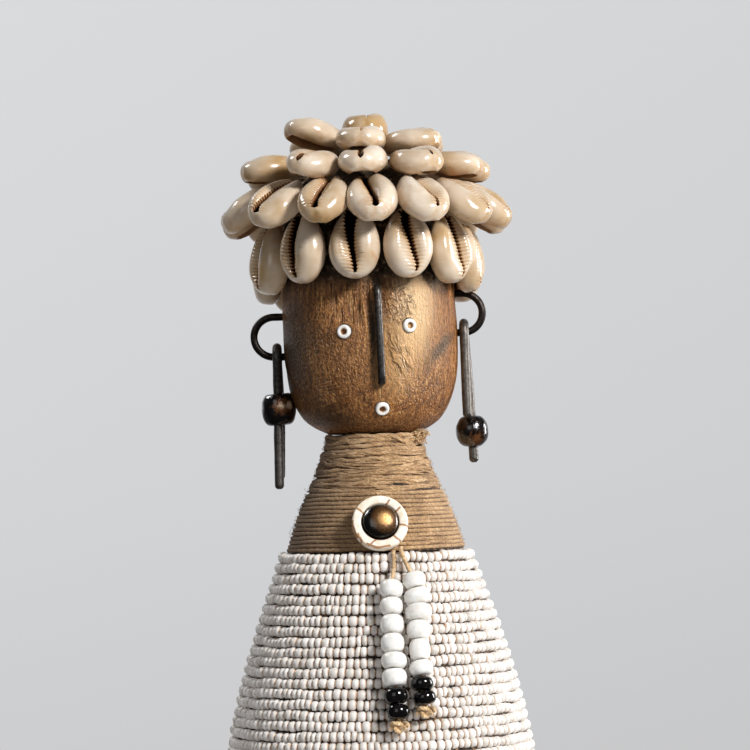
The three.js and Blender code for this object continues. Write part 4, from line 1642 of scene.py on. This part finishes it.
@dataclass
class CarvedHead:
    """The head: one block of wood, chin to skull, with its recesses.

    Attributes:
        outline: half width against height.
        top: height of the crown.
        depth_share: front-to-back thickness as a share of the width.
        lean: sideways drift of the skull for each millimetre above lean_from.
        lean_from: height where that drift starts.
        flat_at: direction of the flat that the knife left beside the right eye.
        flat_half: half its width.
        spots: sideways place and height of each face bead.
        bead_radius: radius of a face bead.
        bead_depth: how deep it sits, from its front.
        bead_bore: radius of its hole.
        proud: how far its front stands out of the wood.
        nose_ends: sideways place and height of the staple's upper and lower end.
        nose_lift: how far the staple's middle line stands off the wood.
        nose_wire: half its thickness.
    """

    outline: Outline = Outline(
        (
            (14.2, 190.8), (18.7, 193.1), (22.2, 196), (25.2, 201.4), (27.1, 209), (27.9, 219),
            (27.6, 233), (26.6, 255), (22.4, 268), (14.6, 276),
        )
    )
    top: float = 279.4
    depth_share: float = 0.95
    lean: float = -0.02
    lean_from: float = 212.0
    flat_at: float = 26.5
    flat_half: float = 8.5
    spots: tuple[tuple[str, float, float], ...] = (
        ("left_eye", -8.4, 222.5), ("right_eye", 12.1, 224.0), ("mouth", 3.0, 198.2),
    )
    bead_radius: float = 2.2
    bead_depth: float = 3.0
    bead_bore: float = 0.9
    proud: float = 0.9
    nose_ends: tuple[Pair, Pair] = ((2.1, 236.0), (2.9, 206.4))
    nose_lift: float = 2.3
    nose_wire: float = 1.2

    def across(self, height: float) -> float:
        """Where the head's middle stands at a height."""
        return self.lean * max(0.0, height - self.lean_from)

    def spot(self, across: float, height: float, proud: float) -> Matrix:
        """A place on the face, in metres: local Z points out of the wood.

        Args:
            across: how far to the right.
            height: how high.
            proud: how far it stands out of the wood.

        Returns:
            The place as a matrix, with a scale from millimetres.
        """
        radius = self.outline.radius(height)
        angle = asin((across - self.across(height)) / radius)
        depth = -radius * self.depth_share * cos(angle)
        rise = (self.outline.radius(height + 1) - self.outline.radius(height - 1)) / 2
        out = Vector((sin(angle), -cos(angle) / self.depth_share, -rise)).normalized()
        return facing(Vector((across, depth, height)) + out * proud, out)

    def block(self) -> Mesh:
        """The carved block before its recesses."""
        side = smooth_path(self.outline.points, 9)
        half, chin = self.outline.points[0]
        form = turned(
            [(0, chin), (half * 0.6, chin), *side, (10.2, 278.1), (5.2, 279.2), (0, self.top)], 112,
        )
        flat_at, flat = radians(self.flat_at), cos(radians(self.flat_half))
        for corner in form.verts:
            x, y, z = corner.co
            # Broad and small facets of the knife, and lumps of glue under the hair
            tool = noise.noise(corner.co / 9) * 0.28 + noise.noise(corner.co / 3.5) * 0.07
            rough = 0.0 if z < 240 else 0.5 * noise.noise(corner.co / 2.6)
            swell = 1 + (tool + rough) / 27
            off = abs(atan2(x, -y) - flat_at)
            swell *= min(1.0, flat / cos(off)) if off < 0.5 else 1.0
            corner.co = (x * swell + self.across(z), y * swell * self.depth_share, z)
        bmesh.ops.scale(form, vec=(MM, MM, MM), verts=form.verts)
        return as_mesh(form)

    def recess(self, across: float, height: float) -> bpy.types.Object:
        """The tool that cuts the recess of a face bead, and leaves a stub of wood in the bead's hole."""
        deep, wide, stub = -self.bead_depth - GAP, self.bead_radius + 0.32, self.bead_bore - 0.15
        above = self.proud + 3
        profile = [
            (wide, deep), (wide, 0.6), (wide + 1.4, above), (0, above), (0, -self.proud),
            (stub, -self.proud), (stub, deep), (wide, deep),
        ]
        mesh = as_mesh(turned(profile, 40))
        mesh.transform(self.spot(across, height, self.proud))
        return placed("recess", mesh)

    def build(self) -> None:
        """Builds the head, cuts its recesses, and sets the beads and the nose in it."""
        raw = placed("raw_head", self.block())
        cutters = [self.recess(across, height) for _, across, height in self.spots]
        for cutter in cutters:
            cut = raw.modifiers.new("recess", "BOOLEAN")
            cut.operation = "DIFFERENCE"
            cut.solver = "EXACT"
            cut.object = cutter
        bpy.context.view_layer.update()
        graph = bpy.context.evaluated_depsgraph_get()
        carved = bpy.data.meshes.new_from_object(raw.evaluated_get(graph))
        for helper in (raw, *cutters):
            bpy.data.objects.remove(helper)
        add_piece("carved_head", carved, WOOD, Slot.WOOD, ["head"], sharp=38)
        for name, across, height in self.spots:
            self.build_bead(name, across, height)
        self.build_nose()

    def build_bead(self, name: str, across: float, height: float) -> None:
        """Builds one white ring of the face."""
        bore, edge, deep = self.bead_bore - 0.05, self.bead_radius, -self.bead_depth
        profile = [(bore, deep), (edge - 0.5, deep), (edge, deep + 0.6)]
        for angle in np.linspace(0, pi, 9, endpoint=False):
            round_lip = 0.75 * (sin(angle) ** 0.8 - 1)
            profile.append((bore + (edge - bore) * (0.5 + 0.5 * cos(angle)), round_lip))
        profile += [(bore, -0.75), (bore - 0.05, -1.6), (bore, deep)]
        mesh = as_mesh(turned(profile, 40))
        reach = np.array([hypot(corner.co.x, corner.co.y) for corner in mesh.vertices])
        # Tan of dust and painted shade on the lip round the hole
        tag(mesh, "dust", np.clip(1.25 - (reach - 0.8) / 0.35, 0, 0.9))
        mesh.transform(self.spot(across, height, self.proud))
        add_piece(f"{name}_bead", mesh, WHITE_GLASS, Slot.WHITE, [name])

    def build_nose(self) -> None:
        """Builds the iron staple down the middle of the face, its ends in the wood."""
        top, bottom = np.array(self.nose_ends)
        # How far along the staple each bend is, and what share of the lift it has there
        bends = (
            (0.012, 0.55), (0.05, 0.93), (0.1, 1), (0.3, 1), (0.5, 1), (0.7, 1), (0.9, 1),
            (0.95, 0.93), (0.99, 0.55),
        )
        stations = [(0, -2.0), *((share, self.nose_lift * part) for share, part in bends), (1, -2.0)]
        line = [self.spot(*(top + (bottom - top) * share), proud).translation for share, proud in stations]
        path = resampled(smooth_path(line, 6), 0.5 * MM)
        beat = uneven(len(path), self.nose_wire, 0.09, 0.17, (4, 1))
        nose = as_mesh(Strand(14).sweep(path, beat, (1.0, 0.0, 0.0)))
        add_piece("nose_wire", nose, NOSE_IRON, Slot.IRON, ["nose_staple"])


@dataclass
class Earring:
    """A wire loop in the side of the head, with a folded rod and a glass bead.

    Attributes:
        side: which ear.
        across: sideways place of the loop's middle, without its sign.
        height: height of the loop's middle.
        radius: of the loop's bend.
        root: how far from the doll's middle its buried ends are.
        front: the rod's front leg, upwards, as sideways, depth and height.
        back: the rod's back leg, downwards.
        fold_across: sideways place of the rod's fold.
        bead_at: the bead's middle.
        bead_size: the bead's radius and height.
        bore: radius of the bead's hole.
        bead_tip: how far the bead leans.
        gold: patches of lustre on the bead, in part painted highlight and reflection, as a direction, a
            sharpness and a strength.
        wire: half the loop's thickness.
        rod: half the rod's thickness.
    """

    side: Side
    across: float
    height: float
    radius: float
    root: float
    front: tuple[Triple, ...]
    back: tuple[Triple, ...]
    fold_across: float
    bead_at: Triple
    bead_size: Pair
    bore: float
    bead_tip: float
    gold: tuple[tuple[float, float, float, float, float], ...]
    wire: float = 1.2
    rod: float = 1.5

    def build(self) -> None:
        """Builds the loop, the rod and the bead."""
        name = self.side.value
        for part, mesh, finish, slot, node in (
            ("wire_loop", self.loop(), LOOP_IRON, Slot.IRON, "ear_loop"),
            ("folded_rod", self.folded(), PIN_IRON, Slot.IRON, "ear_pin"),
            ("glass_bead", self.bead(), BROWN_GLASS, Slot.BROWN, "ear_bead"),
        ):
            add_piece(f"{name}_{part}", mesh, finish, slot, [f"{name}_{node}"])

    def loop(self) -> Mesh:
        """The bent wire, both ends in the wood."""
        sign = self.side.sign
        line = [(self.root, self.height + self.radius)]
        for bend in np.linspace(0, pi, 40):
            line.append((self.across + self.radius * sin(bend), self.height + self.radius * cos(bend)))
        line.append((self.root, self.height - self.radius))
        path = resampled(np.array([(sign * across, 0, height) for across, height in line]) * MM, 0.45 * MM)
        beat = uneven(len(path), self.wire, 0.06, 0.13, (sign * 5, 2))
        return as_mesh(Strand(14).sweep(path, beat, (0.0, 1.0, 0.0)))

    def folded(self) -> Mesh:
        """The rod, folded over the loop's lower wire, with rounded ends."""
        low, fold = self.height - self.radius, self.wire + GAP + self.rod
        over = [
            (self.fold_across, -fold * cos(angle), low + fold * sin(angle))
            for angle in np.linspace(0, pi, 9)
        ]
        step, rounded = 0.5, 1.3
        path = resampled(smooth_path([*self.front, *over, *self.back], 8) * MM, step * MM)
        ends = np.minimum(np.arange(len(path)), np.arange(len(path))[::-1]) * step
        taper = np.sqrt(np.clip(1 - np.clip(1 - (ends + 0.15) / rounded, 0, 1) ** 2, 0.1, 1))
        beat = uneven(len(path), self.rod, 0.1, 0.11, (self.side.sign * 3, 7))
        return as_mesh(Strand(14).sweep(path, beat * taper, (1.0, 0.0, 0.0)))

    def bead(self) -> Mesh:
        """The glass bead on the rod, lumpy, with its lustre marked, in part painted highlight."""
        radius, tall = self.bead_size
        skin = self.bore + 0.2
        profile = bulging(radius, tall / 2, max(skin, 0.36 * radius), self.bore, 2)
        mesh = as_mesh(turned(profile, 64))
        for corner in mesh.vertices:
            if hypot(corner.co.x, corner.co.y) > skin:
                corner.co *= 1 + 0.035 * noise.noise(corner.co / 1.9 + Vector((self.bore, 0, 0)))
        lustre = np.zeros(len(mesh.vertices))
        for *way, sharpness, strength in self.gold:
            way = Vector(way).normalized()
            near = [max(0.0, corner.co.normalized().dot(way)) for corner in mesh.vertices]
            lustre = np.maximum(lustre, strength * np.array(near) ** sharpness)
        lustre += [0.25 * noise.noise(corner.co / 0.7) - 0.12 for corner in mesh.vertices]
        tag(mesh, "lustre", np.clip(lustre, 0, 1))
        tip = Matrix.Rotation(radians(self.bead_tip), 4, "Y")
        mesh.transform(Matrix.Translation(Vector(self.bead_at) * MM) @ tip @ Matrix.Scale(MM, 4))
        return mesh


@dataclass(frozen=True)
class Look:
    """How one cowrie differs from the next.

    Attributes:
        slit: sideways place of its mouth at the free end, the middle and the glued end, as a share of
            the half width.
        gape: half width of its mouth at the same places.
        reach: how far its mouth runs towards the free end, as a share of the half length.
        teeth: how strongly its teeth stand out, 0 to 1.
        tone: how much paler (above 0) or browner (below 0) it is than others.
        mirrored: True where the narrow lip is on the right.
        spin: how far its mouth turns to the viewer's right.
    """

    slit: Triple
    gape: Triple
    reach: float = 0.87
    teeth: float = 1.0
    tone: float = 0.0
    mirrored: bool = False
    spin: float = 0.0


@dataclass(frozen=True)
class Row:
    """A row of cowries round the head.

    Attributes:
        name: what its shells are called, before their number.
        nodes: the CAD nodes that its shells stand for.
        azimuths: where its shells stand from the front.
        tilts: 0 for a shell that hangs, 90 for one that lies level with its free end out.
        radius: distance of the glued ends from the axis.
        height: of the glued ends.
        drop: how much higher the front is than the middle.
        size: length, width and depth of a shell.
        looks: how its shells differ, by their place in the row.
    """

    name: str
    nodes: tuple[str, ...]
    azimuths: tuple[float, ...]
    tilts: tuple[float, ...]
    radius: float
    height: float
    drop: float
    size: Triple
    looks: dict[int, Look]


@dataclass(frozen=True)
class Lip:
    """One side of a cowrie's mouth.

    Attributes:
        sign: 1 on the right, -1 on the left.
        edge: its height along the mouth, as a share of the depth.
        crest: sideways place and height of its crest, as shares of half width and depth.
        tooth: length of a tooth.
        rib: depth of the grooves between the ribs, as a share of the depth.
        spread: how far the ribs run outwards.
    """

    sign: int
    edge: float
    crest: Pair
    tooth: float
    rib: float
    spread: float


def held(value: float) -> float:
    """A number held between 0 and 1."""
    return min(1.0, max(0.0, value))


@dataclass
class Cowrie:
    """A cowrie with its back cut away.

    Attributes:
        size: length, width and depth.
        look: how it differs from others.
        draw: the source of chance.
        rings: steps along its length.
        tooth_count: teeth along its whole length.
        lips: its wide and its narrow lip.
    """

    size: Triple
    look: Look
    draw: Random
    rings: int = 100
    tooth_count: int = 20
    lips: tuple[Lip, Lip] = (
        Lip(1, edge=0.36, crest=(0.4, 0.58), tooth=0.34, rib=0.022, spread=1.4),
        Lip(-1, edge=0.33, crest=(-0.58, 0.46), tooth=0.62, rib=0.05, spread=2.0),
    )

    def half_width(self, along: float) -> float:
        """Half the shell's width at a share of its length, which is largest a little below its middle."""
        girth = sqrt(max(0.0, 1 - along * along))
        return self.size[1] / 2 * girth**0.94 * (1 - 0.17 * along - 0.1 * along * along)

    def height(self, lip: Lip, snout: float, start: float, place: float) -> float:
        """The height of a lip at a sideways place, as a share of the depth.

        Args:
            lip: the lip.
            snout: 0 where the lips stand apart to 1 where they have merged into the round snout.
            start: sideways place where the lip starts.
            place: the sideways place.

        Returns:
            The height.
        """
        at, crest = lip.crest
        if (place - at) * lip.sign < 0:
            part = max(0.0, (place - start) / (at - start))
            lifted = lip.edge + (crest - lip.edge) * sin(pi / 2 * part) ** 0.85
        else:
            lifted = crest * max(0.0, 1 - ((place - at) / (lip.sign - at)) ** 2.3) ** 0.52
        dome = 0.54 * max(0.0, 1 - abs(place) ** 2.2) ** 0.5
        return lifted * (1 - snout) + dome * snout

    def section(self, along: float) -> list[Triple]:
        """The outline across the shell at a share of its length.

        Args:
            along: -1 at the free end to 1 at the glued end.

        Returns:
            Sideways place and height as shares, and how much painted shade it gets in a hollow, for each
            corner from the floor of the mouth round by the right.
        """
        look = self.look
        half = max(0.3, self.half_width(along))
        share = (along + 1) / 2
        free, between, glued = look.slit
        middle = free * (1 - share) * (1 - 2 * share) + glued * share * (2 * share - 1)
        middle += between * 4 * share * (1 - share)
        closing = sqrt(1 - (1 - held((along + look.reach) / 0.08)) ** 2)
        gape = min(float(np.interp(share, (0.05, 0.45, 1), look.gape)) * closing, 0.6 * half) + 0.03
        drift = 1.1 * chance(along * 3.5, self.size[0] * 7, 1.0)
        beat = cos(pi * self.tooth_count * along + 0.7 + drift)
        fade = held((0.93 - abs(along)) / 0.15) * look.teeth
        bite = (0.5 + 0.5 * beat) ** 1.2 * fade
        hollow = held((0.84 - abs(along)) / 0.16)
        # The hollow back gets painted shade, which worn scales from the ends to the middle
        worn = 0.25 + 0.75 * hollow
        # Towards the free end both lips merge into one round snout, which the mouth's end cuts
        ramp = held((-along - 0.3) / 0.5)
        snout = ramp * ramp * (3 - 2 * ramp)
        shade = 0.08 + 0.92 * closing
        sides: list[list[Triple]] = []
        for lip in self.lips:
            sign = lip.sign
            base = middle + sign * gape / half
            start = base - sign * min(lip.tooth, 0.7 * gape) * bite / half
            edge = self.height(lip, snout, base, base)
            floor = edge * (1 - closing) - 0.1 * closing
            # A floor closes the mouth; it and the lips' inner edges get painted shade
            corners = [
                (middle + (start - middle) * 0.8, floor + 0.01 * closing, 0.95 * shade),
                (start - sign * 0.01, (floor + edge) / 2, 0.85 * shade),
                (start, edge - 0.03 * closing, (0.3 + 0.4 * (1 - bite)) * shade),
            ]
            # Along each lip painted shade falls near the mouth, in the grooves between the ribs and on the
            # flank
            for part in np.linspace(0.03, 1, 10):
                place = base + (sign - base) * sin(pi / 2 * part) ** 1.25
                near = exp(-((abs(place - base) * half / lip.spread) ** 1.6))
                groove = (0.5 - 0.5 * beat) ** 1.5 * near * fade
                rise = self.height(lip, snout, base, place) - lip.rib * groove
                corners.append((place, rise, (0.1 * near + 0.24 * groove) * shade + 0.1 * part * part))
            low = -0.45 - 0.05 * (1 - hollow)
            low += 0.04 * chance(along * 2.5, sign * 3.0, self.size[0] * 9)
            corners += [
                (sign * 0.985, -0.1, 0.12), (sign * 0.93, -0.2, 0.15), (sign * 0.82, 0.66 * low, 0.18),
                (sign * 0.68, 0.86 * low, 0.25 * worn), (sign * 0.53, low, 0.4 * worn),
                (sign * 0.43, low + 0.2 * hollow, 0.55 * worn),
                (sign * 0.22, low + 0.27 * hollow, 0.66 * worn),
            ]
            sides.append(corners)
        right, left = sides
        bottom = self.height(self.lips[0], snout, middle, middle) * (1 - closing) - 0.1 * closing
        return [(middle, bottom, shade), *right, (0.0, -0.48 + 0.31 * hollow, 0.7 * worn), *left[::-1]]

    def form(self) -> Form:
        """The shell: X across, Y from the free end inwards, Z out of its mouth, in metres."""
        length, _, depth = self.size
        steps = [u * (1 + 0.12 * (1 - u * u)) for u in np.linspace(-1, 1, self.rings + 1)]
        sections = [self.section(along) for along in steps]
        count = len(sections[0])
        form = bmesh.new()
        bmesh.ops.create_uvsphere(form, u_segments=count, v_segments=self.rings, radius=1)
        recess = form.verts.layers.float.new("recess")
        tone = form.verts.layers.float.new("tone")
        own_tone = self.draw.gauss(0, 0.22) + self.look.tone
        sway = self.draw.uniform(-0.5, 0.5)
        sign = -1 if self.look.mirrored else 1
        for corner in form.verts:
            # Each corner of the sphere becomes the matching corner of a section
            ring = round((1 - acos(max(-1.0, min(1.0, corner.co.z))) / pi) * self.rings)
            place = round(atan2(corner.co.y, corner.co.x) / tau * count) % count
            along = steps[ring]
            across, out, deep = sections[ring][place]
            half = self.half_width(along)
            girth = sqrt(max(0.0, 1 - along * along))
            fall = 0.95 if along > 0 else 0.78
            swell = out * depth * girth**fall * (1 - 0.15 * along)
            # The lips reach past the mouth in two small horns, with a dimple between them
            from_slit = (across - sections[ring][0][0]) * half
            upper = exp(-((from_slit / 1.1) ** 2)) if out > 0 else 0.0
            horn = upper * max(0.0, (along - 0.72) / 0.28) ** 1.4
            dimple = 0.3 * upper * max(0.0, (-along - 0.9) / 0.1)
            bow = sway * (1 - along * along)
            run = along * length / 2 + bow * 0.8 - 2.2 * horn + dimple
            corner.co = Vector((sign * (across * half + bow * 0.6), run, swell)) * MM
            # Painted shade in the hollows, at the horns and in the dimple
            corner[recess] = min(1.0, max(deep, 0.6 * horn, 0.6 * dimple))
            corner[tone] = own_tone
        bmesh.ops.recalc_face_normals(form, faces=form.faces)
        return form


@dataclass
class ShellHair:
    """The rows of cowries that are the doll's hair.

    Attributes:
        rows: the rows, from the fringe up.
        across: how far the middle of the hair stands to the side.
    """

    rows: tuple[Row, ...]
    across: float = -0.8

    def any_look(self, draw: Random) -> Look:
        """The look of a shell that the photograph doesn't show."""
        return Look(
            slit=(draw.uniform(-0.1, 0.15), draw.uniform(-0.35, -0.1), draw.uniform(-0.3, 0.0)),
            gape=(draw.uniform(0.3, 0.6), draw.uniform(0.3, 0.7), draw.uniform(0.6, 1.1)),
            reach=draw.uniform(0.84, 0.93), teeth=draw.uniform(0.6, 1.0), mirrored=draw.random() < 0.25,
        )

    def place(self, row: Row, number: int, spin: float, draw: Random) -> Matrix:
        """Where a shell of a row goes.

        Args:
            row: its row.
            number: its place in the row, from 0.
            spin: how far its mouth turns to the right, in degrees.
            draw: the source of chance.

        Returns:
            The place as a matrix.
        """
        angle = radians(row.azimuths[number])
        lean = radians(row.tilts[number % len(row.tilts)])
        up, radial = Vector((0, 0, 1)), Vector(around(angle, 1, 0))
        along = up * cos(lean) - radial * sin(lean)
        out = radial * cos(lean) + up * sin(lean)
        axes = Matrix((Vector((cos(angle), sin(angle), 0)), along, out)).transposed().to_4x4()
        middle = Vector((self.across, 0, row.height + row.drop * cos(angle)))
        middle += radial * row.radius - along * row.size[0] / 2
        turn = Matrix.Rotation(radians(draw.uniform(-3, 3)), 4, "Z")
        turn @= Matrix.Rotation(radians(spin + draw.uniform(-4, 4)), 4, "Y")
        return Matrix.Translation(middle * MM) @ axes @ turn

    def build(self) -> None:
        """Builds every shell."""
        draw = Random(5)
        for row in self.rows:
            for number in range(len(row.azimuths)):
                look = row.looks.get(number) or self.any_look(draw)
                size = tuple(length * draw.uniform(0.97, 1.03) for length in row.size)
                mesh = as_mesh(Cowrie(size, look, draw).form())
                mesh.transform(self.place(row, number, look.spin, draw))
                node = row.nodes[number % len(row.nodes)]
                add_piece(f"{row.name}_{number + 1}", mesh, SHELL, Slot.SHELL, [node], sharp=75)


# The rows of shells, from the fringe up. A shell without a look of its own gets one by chance
ROWS = (
    Row(
        "fringe_cowrie", tuple(f"fringe_shell_{number}" for number in range(1, 13)),
        azimuths=(-101, -71, -38, -6, 23, 53, 81, 110, 140, 170, 200, 230), tilts=(5,),
        radius=31.2, height=256.5, drop=4.6, size=(22.4, 16.2, 9.4),
        looks={
            0: Look((-0.1, -0.2, -0.15), (0.4, 0.6, 1.0), spin=18),
            1: Look((-0.05, -0.15, -0.1), (0.5, 0.9, 1.3), spin=14),
            2: Look((0.05, -0.3, -0.1), (0.85, 1.5, 1.9)),
            3: Look((0.14, -0.14, -0.4), (0.75, 1.15, 2.6)),
            4: Look((0.28, -0.04, -0.36), (0.6, 0.9, 2.1)),
            5: Look((0.3, 0.12, -0.12), (0.25, 0.5, 1.4)),
        },
    ),
    Row(
        "middle_cowrie", tuple(f"middle_row_shell_{number}" for number in range(1, 15)),
        azimuths=(-103, -76, -47, -20, 3, 28, 54, 80, 106, 132, 157, 182, 207, 232), tilts=(54,),
        radius=28.3, height=269.8, drop=0.4, size=(22.4, 15.8, 9.0),
        looks={
            2: Look((-0.3, -0.3, -0.1), (1.5, 1.15, 0.8), reach=0.9, spin=18),
            3: Look((-0.12, -0.12, 0.1), (1.35, 1.15, 0.8), reach=0.9, spin=8),
            4: Look((0.15, -0.1, -0.45), (1.15, 0.85, 1.3), reach=0.91, teeth=0.7),
            5: Look((-0.3, -0.1, 0.15), (0.6, 0.3, 0.4), reach=0.91, mirrored=True, spin=-4),
            6: Look((-0.3, -0.05, 0.2), (0.25, 0.2, 0.35), reach=0.91, mirrored=True, spin=-6),
        },
    ),
    Row(
        "upper_cowrie", tuple(f"upper_row_shell_{number}" for number in range(1, 11)),
        azimuths=(-73, -31, -1, 31, 63, 97, 132, 167, 204, 245), tilts=(84,),
        radius=20.3, height=276.3, drop=0.0, size=(20.8, 15.4, 8.4),
        looks={
            0: Look((0.1, -0.1, -0.2), (0.3, 0.3, 0.6), reach=0.85, teeth=0.5),
            1: Look((0.05, -0.1, -0.2), (0.95, 0.08, 0.3), reach=0.975, teeth=0.4, spin=16),
            2: Look((0.05, -0.1, -0.15), (0.95, 0.35, 0.5), reach=0.985, teeth=0.6, tone=0.4),
            3: Look((0.1, 0.0, -0.2), (0.5, 0.1, 0.3), reach=0.93, teeth=0.4, spin=-7),
            4: Look((0.0, -0.1, -0.2), (0.15, 0.15, 0.3), reach=0.9, teeth=0.4),
        },
    ),
    Row(
        "crown_cowrie", ("crown_shells",), azimuths=(-64, -2, 58, 118, 178, 237),
        tilts=(106, 91, 92, 93, 94, 93), radius=6.3, height=282.8, drop=0.0, size=(21.6, 15.8, 7.8),
        looks={
            0: Look((0.1, -0.1, -0.2), (0.3, 0.3, 0.5), reach=0.85, teeth=0.5),
            1: Look((0.05, 0.0, -0.1), (0.3, 0.2, 0.4), reach=0.94, teeth=0.5),
            2: Look((-0.1, -0.15, -0.2), (0.2, 0.2, 0.4), reach=0.9, teeth=0.5),
        },
    ),
    Row(
        "top_cowrie", ("crown_shells",), azimuths=(4,), tilts=(93,),
        radius=-10.4, height=286.8, drop=0.0, size=(22, 14.8, 10.4),
        looks={0: Look((0.0, 0.0, -0.1), (0.2, 0.15, 0.3), reach=0.9, teeth=0.4, tone=-1.0)},
    ),
)

LEFT_ROUTE = (
    (5.3, 0.45, 153.7), (5.35, 1.3, 151.4), (5.2, 2.6, 148.6), (4.8, 4.05, 145.4), (4.3, 4.3, 142),
    (4.2, 4.3, 136.8), (4.3, 4.3, 131.4), (4.3, 4.3, 125.6), (4.6, 4.3, 120.4), (4.6, 4.3, 115.1),
    (4.9, 4.1, 109.7), (5.5, 3.9, 104.9), (5.7, 3.7, 101.2),
)
RIGHT_ROUTE = (
    (7.5, 0.35, 154.9), (8.1, 1.3, 152.2), (9.2, 2.8, 149.6), (10.4, 4.1, 147), (11.5, 4.3, 144.3),
    (12.3, 4.4, 139.5), (12.5, 4.4, 134.7), (12.4, 4.3, 129.4), (12.6, 4.1, 123.4), (12.9, 4.3, 117.8),
    (13, 4, 113.1), (13.6, 3.9, 108.8), (14, 3.7, 105.4),
)


def main() -> None:
    """Builds the studio and the doll, piece by piece."""
    logging.basicConfig(level=logging.INFO, format="%(name)s %(message)s")
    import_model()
    Studio().build()
    body = BeadedBody()
    wrap = ShoulderWrap()
    Tassel(
        Side.LEFT, body, LEFT_ROUTE,
        white=(144.7, 139.4, 134.2, 128.5, 122.8, 117.9, 112.6), black=(112.2, 107.2, 102.6),
        beads=((3.7, 0), (3.6, 1), (3.7, -1), (3.65, 1), (4.0, -2), (3.9, 2), (3.6, 2), (3.5, -6)),
    ).build()
    Tassel(
        Side.RIGHT, body, RIGHT_ROUTE,
        white=(147, 142, 137.2, 132.2, 126.6, 120.2, 115.6), black=(115.2, 111, 106.7),
        beads=((3.6, -3), (4.2, 8), (4.15, 4), (3.7, 0), (3.3, 0), (3.7, 3), (3.5, -4), (3.55, 4)),
    ).build()
    body.build()
    wrap.build()
    Pendant(wrap).build()
    CarvedHead().build()
    Earring(
        Side.LEFT, across=31.1, height=222.5, radius=6.4, root=25.6,
        front=((-30.4, -1.65, 173.8), (-30.3, -1.65, 194), (-30.2, -1.65, 205.4), (-30.2, -2.7, 213)),
        back=((-30.2, 2.7, 213), (-29.9, 1.65, 205.4), (-29.7, 1.65, 194), (-30.1, 1.65, 177)),
        fold_across=-30.2, bead_at=(-30.1, 0, 199.3), bead_size=(5.5, 10.0), bore=3.2, bead_tip=-4,
        # Left bead: a gold patch of lustre and painted reflection, and a pale painted highlight
        gold=((0.22, -0.95, 0.15, 9, 0.85), (0.66, -0.73, 0.18, 30, 1.5)),
    ).build()
    Earring(
        Side.RIGHT, across=29.5, height=228.8, radius=6.3, root=24.4,
        front=((30.1, -4.5, 195.2), (29.9, -3.8, 208), (29.8, -3.2, 218)),
        back=((30.2, 2.9, 218), (31.1, 1.7, 203), (31.6, 0.8, 191), (32, 0.5, 180.9)),
        fold_across=29.8, bead_at=(31.6, 0.8, 190.9), bead_size=(5.25, 9.9), bore=1.6, bead_tip=0,
        gold=((0.2, -0.8, -0.5, 6, 0.5),),
    ).build()
    ShellHair(ROWS).build()


if __name__ == "__main__":
    main()
